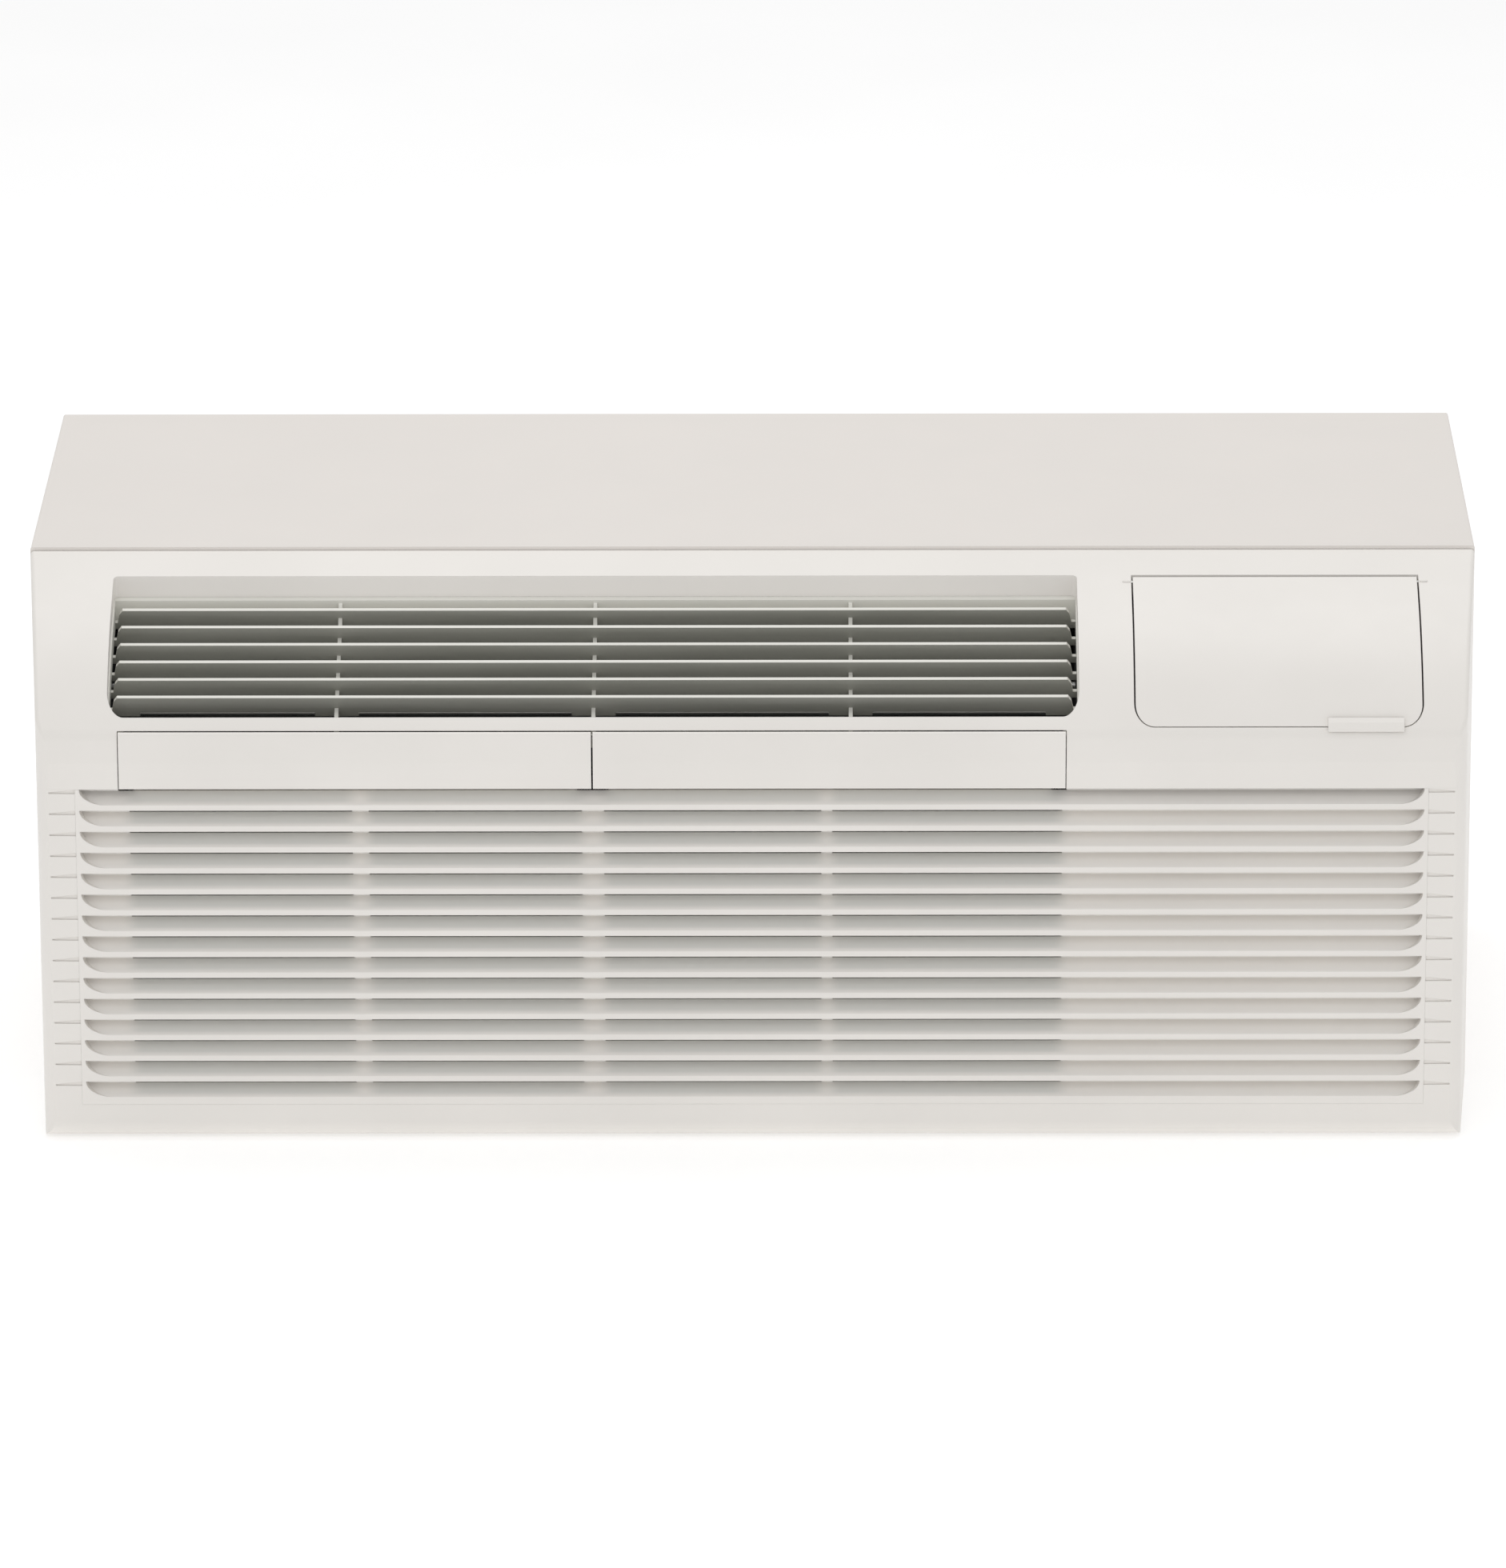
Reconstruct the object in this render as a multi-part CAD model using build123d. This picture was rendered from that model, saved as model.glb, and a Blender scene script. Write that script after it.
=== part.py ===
from build123d import *
import math
import os

# Through-the-wall air conditioner: a room cabinet and its chassis in a sheet-metal wall sleeve.
# Millimetres. X runs along the cabinet, -Y faces the room, +Z is up. The origin is the middle of the base.

# ---- wall sleeve
SLEEVE_W = 1067.0
SLEEVE_H = 413.0
SLEEVE_FRONT = -111.0
SLEEVE_REAR = 238.0
SHEET = 1.5
HEM = 3.0
HEM_DEPTH = 12.0
REAR_FLANGE = 15.0
SKID_H = 1.6
FIX_HOLE_R = 3.5
FIX_PITCH_Y = 200.0
FIX_PITCH_Z = 220.0
FIX_Y = 70.0
FIX_Z = 220.0

# ---- outdoor grille
GRILLE_DEPTH = 20.0
OUT_W = 1048.0
OUT_Z0 = 6.0
OUT_Z1 = 407.0
OUT_SLATS = 22

# ---- room cabinet: the cover's side profile
COVER_REAR = -111.7
COVER_TOP = 410.5
COVER_BOTTOM = 1.0
COVER_T = 3.0
CROWN_START = 18.0
CROWN_END = 23.0
CROWN_LENGTH = 70.0
NOSE_END = 60.0
NOSE_R = 162.0
LIP_END = 86.6
LIP_R = 18.0
BAND_FACET_Z = 293.0
BAND_LOW_Z = 273.0
BAND_LOW_Y = -256.9
FRONT_Y = -257.0
ROLL_R = 13.5
HALF_W_REAR = 533.5
HALF_W_FRONT = 521.5
CORNER_R = 13.0
SLOPE_EDGE_R = 3.0

# ---- discharge opening and louvre
DIS_X = (-470.0, 239.0)
DIS_Y = (-249.5, -142.0)
DIS_CORNER_FRONT = 12.0
DIS_CORNER_REAR = 3.5
COLLAR_DEPTH = 16.0
COLLAR_FLOOR_Z = 311.5
INSERT_DEPTH = 34.0
INSERT_FLOOR_Z = 302.0
BLADES = 6
BLADE_FIRST = (-157.0, 379.0)
BLADE_LAST = (-235.0, 336.7)
BLADE_T = 2.7
BLADE_CHORD = 19.0
SCALLOP_CHORD = 15.0
SCALLOP_MARGIN = 16.0
BLADE_LEAN = 62.0
BLADE_X = (-463.0, 231.0)
DIVIDER_X = (-303.0, -115.3, 72.5)
DIVIDER_T = 2.9
DIVIDER_DROP = 12.0

# ---- control door
DOOR_X = (280.2, 489.0)
DOOR_REAR = -144.0
DOOR_FOOT_Z = 319.0
DOOR_T = 2.6
DOOR_CORNER = 14.0
DOOR_GAP = 1.2
DOOR_REAR_GAP = 2.3
LIP_X = (420.0, 475.6)
HINGE_Y = -146.3
HINGE_DROP = 2.6
PIN_R = 1.2

# ---- filters and their handle panels
FILTER_LEAN = 17.0
FILTER_LINE = (-246.5, 273.0)
FILTER_T = 4.5
FILTER_TOP_Z = 264.0
FILTER_FOOT_Z = 40.0
PANEL_T = 2.8
PANEL_TOP_Z = 316.0
PANEL_X = ((-461.7, -116.8), (-115.6, 229.1))
FRAME_X = ((-457.5, -121.5), (-110.5, 225.0))
WINDOW_X = (-462.3, 229.7)
WINDOW_TOP_Z = 316.8

# ---- return grille
SLOTS = 15
SLOT_PITCH = 16.19
SLOT_TOP_Z = 272.6
SLOT_H = 12.0
SLOT_DEPTH = 9.5
SLOT_RISE = 8.0
SLOT_HALF = 491.0
SLOT_END = 20.0
TAIL_END = 513.0
SLAB_X = 494.0
SLAB_FOOT_Z = 28.0
SLAB_BACK = -246.0
SEE_THROUGH = ((-455.0, -292.0), (-280.0, -124.0), (-108.0, 51.0), (59.0, 227.0))

# ---- chassis
PAN_X = 518.0
PAN_Y = (-225.0, 225.0)
PAN_Z = 3.4
PAN_T = 1.6
PAN_WALL_Z = 30.0
WALL_Y = (-38.0, -36.5)
WALL_TOP = 402.0
VENT_X = (-514.0, -484.0)
VENT_Z = (80.0, 190.0)
VENT_ARM = 20.0

# ---- room-side coil, blower and duct
COIL_X = (-455.0, 225.0)
COIL_T = 36.0
COIL_PLATE = 1.5
COIL_GAP = 10.0
COIL_Z = (46.0, 268.0)
BLOWER = (-105.0, 235.0)
BLOWER_R = 55.0
BLOWER_X = (-462.0, 226.0)
BLOWER_BLADES = 30
SHAFT_R = 5.0
DUCT_X = (-474.0, 240.0)
DUCT_T = 2.0

# ---- controls
PANEL_HIGH = (-150.0, 372.0)
PANEL_LOW = (-232.0, 317.0)
CONTROL_X = (276.0, 494.0)
CONTROL_T = 3.0
BUTTON_W = 20.0
BUTTON_H = 11.0
BUTTON_PROUD = 2.4
BUTTON_X = (300.0, 332.0, 396.0, 430.0, 464.0)
BUTTON_NAMES = ("power", "mode", "fan", "warmer", "cooler")

# ---- outdoor side
COMPRESSOR = (-400.0, 62.0)
COMPRESSOR_R = 60.0
COMPRESSOR_Z = (24.0, 252.0)
ACCUMULATOR = (-306.0, 62.0)
ACCUMULATOR_R = 26.0
OUT_COIL_X = (-490.0, 470.0)
OUT_COIL_Y = (190.0, 222.0)
OUT_COIL_Z = (8.0, 392.0)
SHROUD_Y = 168.0
FAN = (60.0, 206.0)
FAN_R = 168.0
FAN_Y = (112.0, 162.0)
FAN_BLADES = 5
TUBE_R = 4.0


# ---------------------------------------------------------------- helpers
def box(x0, x1, y0, y1, z0, z1):
    """A block between six planes."""
    return Pos((x0 + x1) / 2, (y0 + y1) / 2, (z0 + z1) / 2) * Box(x1 - x0, y1 - y0, z1 - z0)


def side_prism(face, x0, x1):
    """Extrude a face drawn in (Y, Z) between two X planes."""
    return extrude(Plane.YZ.offset(x0) * face, amount=x1 - x0)


def front_prism(face, y0, y1):
    """Extrude a face drawn in (X, Z) between two Y planes."""
    return extrude(Plane.XZ.offset(-y1) * face, amount=y1 - y0)


def plan_prism(face, z0, z1):
    """Extrude a face drawn in (X, Y) between two Z planes."""
    return extrude(Plane.XY.offset(z0) * face, amount=z1 - z0)


def outline(*points):
    """A closed face through straight-line corners."""
    return make_face(Polyline(*points, close=True))


def rect(u0, u1, v0, v1):
    """An upright rectangle between four lines."""
    return Pos((u0 + u1) / 2, (v0 + v1) / 2) * Rectangle(u1 - u0, v1 - v0)


def cyl_x(y, z, r, x0, x1):
    return side_prism(Pos(y, z) * Circle(r), x0, x1)


def cyl_y(x, z, r, y0, y1):
    return front_prism(Pos(x, z) * Circle(r), y0, y1)


def cyl_z(x, y, r, z0, z1):
    return plan_prism(Pos(x, y) * Circle(r), z0, z1)


def tube(points, radii, r):
    """A round tube along straight runs joined by tangent arcs."""
    path = FilletPolyline(*points, radius=radii)
    start = Plane(origin=path @ 0, z_dir=path % 0)
    return sweep(start * Circle(r), path=path)


# ---------------------------------------------------------------- wall sleeve
def wall_sleeve():
    half = SLEEVE_W / 2
    outer = rect(-half, half, 0, SLEEVE_H)
    outer = fillet(outer.vertices(), 2.0)
    inner = rect(-half + SHEET, half - SHEET, SHEET, SLEEVE_H - SHEET)
    body = front_prism(outer - inner, SLEEVE_FRONT, SLEEVE_REAR)
    mouth = rect(-half + HEM, half - HEM, HEM, SLEEVE_H - HEM)
    body += front_prism(outer - mouth, SLEEVE_FRONT, SLEEVE_FRONT + HEM_DEPTH)
    back = rect(-half + REAR_FLANGE, half - REAR_FLANGE, REAR_FLANGE, SLEEVE_H - REAR_FLANGE)
    body += front_prism(outer - back, SLEEVE_REAR - SHEET, SLEEVE_REAR)
    for x in (-380, 0, 380):
        body += box(x - 12, x + 12, SLEEVE_FRONT + HEM_DEPTH, SLEEVE_REAR - 20, SHEET, SHEET + SKID_H)
    for sy in (-1, 1):
        for sz in (-1, 1):
            y = FIX_Y + sy * FIX_PITCH_Y / 2
            z = FIX_Z + sz * FIX_PITCH_Z / 2
            body -= cyl_x(y, z, FIX_HOLE_R, -half - 1, half + 1)
    return body


def grille_screw_places():
    return [(x, z) for x in (-500, 0, 500) for z in (OUT_Z0 + 5, OUT_Z1 - 5)]


def outdoor_grille():
    half = OUT_W / 2
    y0, y1 = SLEEVE_REAR, SLEEVE_REAR + GRILLE_DEPTH
    frame = rect(-half, half, OUT_Z0, OUT_Z1) - rect(-half + 22, half - 22, OUT_Z0 + 22, OUT_Z1 - 22)
    body = front_prism(frame, y0, y0 + 3)
    rim = rect(-half + 20, half - 20, OUT_Z0 + 20, OUT_Z1 - 20)
    rim -= rect(-half + 22, half - 22, OUT_Z0 + 22, OUT_Z1 - 22)
    body += front_prism(rim, y0, y1)
    pitch = (OUT_Z1 - OUT_Z0 - 44) / OUT_SLATS
    slat = outline((y0, 0), (y0 + 1.6, 0), (y1, -9), (y1, -11), (y1 - 1.6, -11), (y0, -2.2))
    for k in range(OUT_SLATS):
        z = OUT_Z0 + 22 + pitch * (k + 0.75)
        body += side_prism(Pos(0, z) * slat, -half + 22, half - 22)
    for x in (-245, 0, 245):
        body += box(x - 2, x + 2, y0, y0 + 12, OUT_Z0 + 22, OUT_Z1 - 22)
    for x, z in grille_screw_places():
        body -= cyl_y(x, z, 2.3, y0 - 1, y0 + 4)
    return body


def grille_screws():
    screws = Part()
    y = SLEEVE_REAR + 3
    for x, z in grille_screw_places():
        head = cyl_y(x, z, 4.2, y, y + 2.2) - box(x - 3.2, x + 3.2, y + 1.2, y + 3, z - 0.5, z + 0.5)
        screws += head + cyl_y(x, z, 2.2, SLEEVE_REAR, y)
    return screws


# ---------------------------------------------------------------- front cover
def arc_to(start, from_deg, to_deg, r):
    """The end of an arc that falls away from the wall, its slope growing from one angle to the other."""
    a, b = math.radians(from_deg), math.radians(to_deg)
    return (start[0] - r * (math.sin(b) - math.sin(a)), start[1] - r * (math.cos(a) - math.cos(b)))


def slope_dir(deg):
    return (-math.cos(math.radians(deg)), -math.sin(math.radians(deg)))


CROWN_R = CROWN_LENGTH / math.radians(CROWN_END - CROWN_START)
P_TOP = (COVER_REAR, COVER_TOP)
P_CROWN = arc_to(P_TOP, CROWN_START, CROWN_END, CROWN_R)
P_CREASE = arc_to(P_CROWN, CROWN_END, NOSE_END, NOSE_R)
P_LIP = arc_to(P_CREASE, NOSE_END, LIP_END, LIP_R)
FACET_Y = P_LIP[0] - (P_LIP[1] - BAND_FACET_Z) / math.tan(math.radians(LIP_END))


def surface_z(y):
    """Height of the cover's outer surface at a given depth on the slope."""
    if y > P_CROWN[0]:
        r, start, base = CROWN_R, CROWN_START, P_TOP
    else:
        r, start, base = NOSE_R, CROWN_END, P_CROWN
    first = math.radians(start)
    turn = math.asin(math.sin(first) + (base[0] - y) / r)
    return base[1] - r * (math.cos(first) - math.cos(turn))


def cover_profile(rear):
    """The cover's side profile in (Y, Z), closed along a rear plane."""
    roll_top = (FRONT_Y, COVER_BOTTOM + ROLL_R)
    roll_end = (FRONT_Y + ROLL_R, COVER_BOTTOM)
    edges = [
        TangentArc(P_TOP, P_CROWN, tangent=slope_dir(CROWN_START)),
        TangentArc(P_CROWN, P_CREASE, tangent=slope_dir(CROWN_END)),
        TangentArc(P_CREASE, P_LIP, tangent=slope_dir(NOSE_END)),
        Line(P_LIP, (FACET_Y, BAND_FACET_Z)),
        Line((FACET_Y, BAND_FACET_Z), (BAND_LOW_Y, BAND_LOW_Z)),
        Line((BAND_LOW_Y, BAND_LOW_Z), (FRONT_Y, BAND_LOW_Z - 0.4)),
        Line((FRONT_Y, BAND_LOW_Z - 0.4), roll_top),
        TangentArc(roll_top, roll_end, tangent=(0, -1)),
        Line(roll_end, (rear, COVER_BOTTOM)),
    ]
    if rear > COVER_REAR:
        rise = (rear - COVER_REAR) * math.tan(math.radians(CROWN_START))
        edges.append(Line((rear, COVER_BOTTOM), (rear, COVER_TOP + rise)))
        edges.append(Line((rear, COVER_TOP + rise), P_TOP))
    else:
        edges.append(Line((rear, COVER_BOTTOM), P_TOP))
    return make_face(edges)


def cover_plan(rear):
    """The cover's outline from above: sides that draw in towards the room, round front corners."""
    slope = (HALF_W_REAR - HALF_W_FRONT) / (COVER_REAR - FRONT_Y)
    wide = HALF_W_REAR + slope * (rear - COVER_REAR)
    front = FRONT_Y - 1.0
    narrow = HALF_W_FRONT - slope
    face = outline((-wide, rear), (-narrow, front), (narrow, front), (wide, rear))
    corners = face.vertices().group_by(Axis.Y)[0]
    return fillet(corners, CORNER_R)


def cover_block(inset=0.0):
    """The solid under the cover's skin, drawn in by an inset on all sides but the rear."""
    rear = COVER_REAR if inset == 0 else COVER_REAR + 2 * inset
    profile = cover_profile(rear)
    plan = cover_plan(rear)
    if inset:
        profile = offset(profile, -inset)
        plan = offset(plan, -inset)
    block = side_prism(profile, -540, 540) & plan_prism(plan, -5, 430)
    return block


def rounded_edges(block, radius):
    """Round the long edges where the slope meets the sides."""
    def on_edge(edge):
        c = edge.center()
        return abs(c.X) > 505 and c.Z > P_CREASE[1] and edge.length > 30 and c.Y < COVER_REAR - 1
    edges = block.edges().filter_by(on_edge)
    return fillet(edges, radius)


def discharge_face(grow=0.0):
    """The discharge opening seen from above."""
    face = rect(DIS_X[0] - grow, DIS_X[1] + grow, DIS_Y[0] - grow, DIS_Y[1] + grow)
    front = face.vertices().group_by(Axis.Y)[0]
    face = fillet(front, DIS_CORNER_FRONT + grow)
    rear = face.vertices().group_by(Axis.Y)[-1]
    return fillet(rear, max(DIS_CORNER_REAR + grow, 0.5))


def under_skin(depth_top, depth_bottom):
    """The space between two levels below the cover's slope."""
    block = cover_block()
    return (Pos(0, 0, -depth_top) * block) - (Pos(0, 0, -depth_bottom) * block)


def door_face(gap=0.0):
    """The control door seen from the front."""
    face = rect(DOOR_X[0] - gap, DOOR_X[1] + gap, DOOR_FOOT_Z - gap / 2, 430)
    low = face.vertices().group_by(Axis.Y)[0]
    return fillet(low, DOOR_CORNER + gap)


def door_collar():
    """Walls round the control pocket, under the edges of the door."""
    inner = rect(DOOR_X[0] - DOOR_GAP, DOOR_X[1] + DOOR_GAP, -240.0, DOOR_REAR + DOOR_REAR_GAP)
    outer = rect(DOOR_X[0] - 4.5, DOOR_X[1] + 4.5, -240.0, DOOR_REAR + DOOR_REAR_GAP + 2.5)
    return plan_prism(outer - inner, 330, 420) & under_skin(0.5, 15)


def hinge_height():
    return surface_z(HINGE_Y) - HINGE_DROP


def front_cover():
    body = rounded_edges(cover_block(), SLOPE_EDGE_R) - cover_block(COVER_T)
    ring = discharge_face(COVER_T) - discharge_face()
    collar = plan_prism(ring, COLLAR_FLOOR_Z, 420) & under_skin(0.5, COLLAR_DEPTH)
    body += collar
    body -= plan_prism(discharge_face(), 300, 420)
    door_hole = front_prism(door_face(DOOR_GAP), -262, DOOR_REAR + DOOR_REAR_GAP)
    body -= door_hole & box(200, 520, -262, 0, DOOR_FOOT_Z - 1, 430)
    body += door_collar()
    z = hinge_height()
    for x0, x1 in ((DOOR_X[0] - 7.5, DOOR_X[0] - 2.0), (DOOR_X[1] + 2.0, DOOR_X[1] + 7.5)):
        lug = side_prism(rect(HINGE_Y - 4, HINGE_Y + 4, z - 4, z + 2), x0, x1)
        body += lug
        body -= cyl_x(HINGE_Y, z, PIN_R + 0.06, x0 - 1, x1 + 1)
    body -= box(WINDOW_X[0], WINDOW_X[1], -262, -235, SLAB_FOOT_Z, WINDOW_TOP_Z)
    body -= box(-SLAB_X, SLAB_X, -262, -250, SLAB_FOOT_Z, SLOT_TOP_Z)
    body -= box(-519.5, 519.5, -236, COVER_REAR + 9, 0, COVER_BOTTOM + COVER_T + 0.5)
    tail = outline((SLAB_X - 1, 0), (SLAB_X - 1, 3.2), (TAIL_END, 1.2), (TAIL_END, 0.2))
    for k in range(SLOTS):
        z = SLOT_TOP_Z - SLOT_PITCH * k - 3.2
        groove = front_prism(Pos(0, z) * tail, -262, FRONT_Y + 0.9)
        body -= groove
        body -= mirror(groove, about=Plane.YZ)
    return body


def return_grille():
    """Fifteen bars: each groove's floor rises inwards, and slits open to the filters in four fields."""
    body = box(-SLAB_X, SLAB_X, FRONT_Y, SLAB_BACK, SLAB_FOOT_Z, SLOT_TOP_Z)
    deep = FRONT_Y + SLOT_DEPTH
    groove = outline(
        (FRONT_Y - 1, 0), (deep, 0), (deep, SLOT_RISE - SLOT_H), (FRONT_Y, -SLOT_H), (FRONT_Y - 1, -SLOT_H)
    )
    straight = rect(-SLOT_HALF + SLOT_END, SLOT_HALF - SLOT_END, -SLOT_H, 0)
    for side in (-1, 1):
        end = Pos(side * (SLOT_HALF - SLOT_END), 0) * Ellipse(SLOT_END, SLOT_H)
        straight += end & rect(-SLOT_HALF, SLOT_HALF, -SLOT_H, 0)
    cutter = side_prism(groove, -SLOT_HALF, SLOT_HALF) & front_prism(straight, FRONT_Y - 1, deep)
    for k in range(SLOTS):
        z = SLOT_TOP_Z - SLOT_PITCH * k
        body -= Pos(0, 0, z) * cutter
        if k == 0:
            body -= box(-SLOT_HALF, SLOT_HALF, deep - 0.5, SLAB_BACK + 1, z + SLOT_RISE - SLOT_H, z + 1)
            continue
        for x0, x1 in SEE_THROUGH:
            body -= box(x0, x1, deep - 0.5, SLAB_BACK + 1, z + SLOT_RISE - SLOT_H, z)
    for x0, x1 in ((-SLAB_X, WINDOW_X[0] - 0.5), (WINDOW_X[1] + 0.5, SLAB_X)):
        body += box(x0, x1, deep, SLAB_BACK, SLOT_TOP_Z + SLOT_RISE - SLOT_H - 1, SLOT_TOP_Z + 7)
    return body


def blade_places():
    steps = BLADES - 1
    dy = (BLADE_LAST[0] - BLADE_FIRST[0]) / steps
    dz = (BLADE_LAST[1] - BLADE_FIRST[1]) / steps
    return [(BLADE_FIRST[0] + dy * k, BLADE_FIRST[1] + dz * k) for k in range(BLADES)]


def louvre_blade(y, z, last):
    """One blade: a leaning plate with cut ends, shoulders into the side rails and, on the last, scallops."""
    lean = math.radians(BLADE_LEAN)
    plane = Plane(origin=(0, y, z), x_dir=(1, 0, 0), z_dir=(0, -math.sin(lean), -math.cos(lean)))
    sign = 1 if plane.y_dir.Z < 0 else -1
    left, right = BLADE_X
    rail_left, rail_right = DIS_X[0] + 0.2, DIS_X[1] - 0.2
    face = outline(
        (left, 0), (right, 0), (right + 2.5, sign * 4), (right + 4, sign * 12.5), (rail_right, sign * 12.5),
        (rail_right, sign * BLADE_CHORD), (rail_left, sign * BLADE_CHORD), (rail_left, sign * 12.5),
        (left - 4, sign * 12.5), (left - 2.5, sign * 4),
    )
    if last:
        stops = (left,) + DIVIDER_X + (right,)
        for a, b in zip(stops[:-1], stops[1:]):
            low, high = sorted((sign * SCALLOP_CHORD, sign * (BLADE_CHORD + 4)))
            face -= rect(a + SCALLOP_MARGIN, b - SCALLOP_MARGIN, low, high)
    return extrude(plane * face, amount=BLADE_T / 2, both=True)


def discharge_louvre():
    body = discharge_face(COVER_T - 0.5) - discharge_face(-4.0)
    body -= rect(DIS_X[0] + 1, DIS_X[1] - 1, DIS_Y[0] + DIS_CORNER_FRONT, DIS_Y[1] - 4)
    ring = plan_prism(body, INSERT_FLOOR_Z, 400) & under_skin(COLLAR_DEPTH, INSERT_DEPTH)
    low = plan_prism(body, INSERT_FLOOR_Z, COLLAR_FLOOR_Z)
    ring = ring & box(-500, 500, -245.5, 0, 300, 420)
    ring += low & box(-500, 500, DIS_Y[0] + 0.3, -245.5, 300, 420)
    for k, (y, z) in enumerate(blade_places()):
        ring += louvre_blade(y, z, k == BLADES - 1)
    step_y = BLADE_LAST[0] - BLADE_FIRST[0]
    step_z = BLADE_LAST[1] - BLADE_FIRST[1]
    ratio = step_z / step_y
    top = BLADE_FIRST[1] - DIVIDER_DROP
    rear = DIS_Y[1] - 3.0
    front = DIS_Y[0] + 3.0
    start_z = top - 2 * ratio
    front_z = top + (front - BLADE_FIRST[0]) * ratio
    for x in DIVIDER_X:
        face = outline(
            (rear, 381.0), (rear - 3, 380.0), (BLADE_FIRST[0] - 2, start_z),
            (front, front_z), (front, front_z - 14), (rear, 352.0),
        )
        ring += side_prism(face, x - DIVIDER_T / 2, x + DIVIDER_T / 2)
    return ring


# ---------------------------------------------------------------- control door
def control_door():
    skin = cover_block() - cover_block(DOOR_T)
    plate = skin & front_prism(door_face(), -262, DOOR_REAR)
    plate &= box(DOOR_X[0], DOOR_X[1], -262, DOOR_REAR, DOOR_FOOT_Z, 430)
    z = hinge_height()
    for x0, x1 in ((DOOR_X[0], DOOR_X[0] + 10), (DOOR_X[1] - 10, DOOR_X[1])):
        plate += cyl_x(HINGE_Y, z, PIN_R + 1.0, x0, x1)
        plate -= cyl_x(HINGE_Y, z, PIN_R, x0 - 1, x1 + 1)
    y, zc = P_CREASE
    lip = outline((y + 2.5, zc + 7.5), (y - 0.8, zc + 4.5), (y - 3.2, zc + 0.5), (y - 3.4, zc - 1.6),
                  (y - 2.6, zc - 1.8), (y - 1.6, zc + 0.9), (y + 2.0, zc + 1.4))
    lip = side_prism(lip, LIP_X[0], LIP_X[1])
    lip = fillet(lip.edges().filter_by(Axis.X).sort_by(Axis.Y)[:2], 0.5)
    return plate + lip


def door_pins():
    z = hinge_height()
    pins = Part()
    for x0, x1 in ((DOOR_X[0] - 6.5, DOOR_X[0] + 10), (DOOR_X[1] - 10, DOOR_X[1] + 6.5)):
        pins += cyl_x(HINGE_Y, z, PIN_R, x0, x1)
    return pins


# ---------------------------------------------------------------- filters
LEAN = math.radians(FILTER_LEAN)
FILTER_SET = FILTER_T / math.cos(LEAN)


def filter_y(z):
    """Depth of a filter's front face at a given height."""
    return FILTER_LINE[0] - (z - FILTER_LINE[1]) * math.tan(LEAN)


def filter_slice(x0, x1, z0, z1, front=0.0, back=None):
    """A slab of the filter's leaning plane, between two depths behind its front face."""
    back = FILTER_SET if back is None else back
    face = outline(
        (filter_y(z0) + front, z0), (filter_y(z1) + front, z1),
        (filter_y(z1) + back, z1), (filter_y(z0) + back, z0),
    )
    return side_prism(face, x0, x1)


def filter_handle(x0, x1, f0, f1):
    """The panel seen in the band, with a neck behind it that reaches down to the frame."""
    panel = outline(
        (P_LIP[0] - 0.9, PANEL_TOP_Z), (FACET_Y - 0.3, BAND_FACET_Z), (BAND_LOW_Y - 0.3, BAND_LOW_Z),
        (BAND_LOW_Y - 0.3 + PANEL_T, BAND_LOW_Z), (FACET_Y - 0.3 + PANEL_T, BAND_FACET_Z),
        (P_LIP[0] - 0.9 + PANEL_T, PANEL_TOP_Z),
    )
    body = side_prism(panel, x0, x1)
    top = body.edges().filter_by(Axis.X).sort_by(Axis.Z)[-2:].sort_by(Axis.Y)[0]
    body = fillet(top, 2.0)
    z1 = PANEL_TOP_Z - 4
    neck = outline(
        (filter_y(FILTER_TOP_Z), FILTER_TOP_Z), (FACET_Y + PANEL_T - 0.5, 300.0),
        (P_LIP[0] - 0.9 + PANEL_T - 0.4, z1), (filter_y(z1) + FILTER_SET, z1),
        (filter_y(FILTER_TOP_Z) + FILTER_SET, FILTER_TOP_Z),
    )
    for x in (f0 + 6, (f0 + f1) / 2 - 3, f1 - 12):
        body += side_prism(neck, x, x + 6)
    web = outline(
        (filter_y(FILTER_TOP_Z) + 1.2, FILTER_TOP_Z), (filter_y(296) + 1.2, 296.0),
        (filter_y(296) + 3.0, 296.0), (filter_y(FILTER_TOP_Z) + 3.0, FILTER_TOP_Z),
    )
    body += side_prism(web, f0 + 6, f1 - 6)
    shelf = outline((BAND_LOW_Y, BAND_LOW_Z), (filter_y(275) + 1.5, BAND_LOW_Z),
                    (filter_y(275) + 1.5, BAND_LOW_Z + 1.8), (BAND_LOW_Y, BAND_LOW_Z + 1.8))
    return body + side_prism(shelf, f0 + 6, f1 - 6)


def filter_frame(x0, x1):
    """Frame and ribs of a filter: a rim, two uprights and four cross bars in front of the net."""
    body = filter_slice(x0, x1, FILTER_FOOT_Z, FILTER_TOP_Z)
    body -= filter_slice(x0 + 8, x1 - 8, FILTER_FOOT_Z + 8, FILTER_TOP_Z - 8, -1, FILTER_SET + 1)
    third = (x1 - x0) / 3
    for k in (1, 2):
        x = x0 + third * k
        body += filter_slice(x - 2, x + 2, FILTER_FOOT_Z + 8, FILTER_TOP_Z - 8, 0, 2.0)
    rise = (FILTER_TOP_Z - FILTER_FOOT_Z) / 5
    for k in range(1, 5):
        z = FILTER_FOOT_Z + rise * k
        body += filter_slice(x0 + 8, x1 - 8, z - 1.5, z + 1.5, 0, 2.0)
    return body


def filter_net(x0, x1):
    return filter_slice(x0 + 8, x1 - 8, FILTER_FOOT_Z + 8, FILTER_TOP_Z - 8, 2.0, 2.7)


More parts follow.
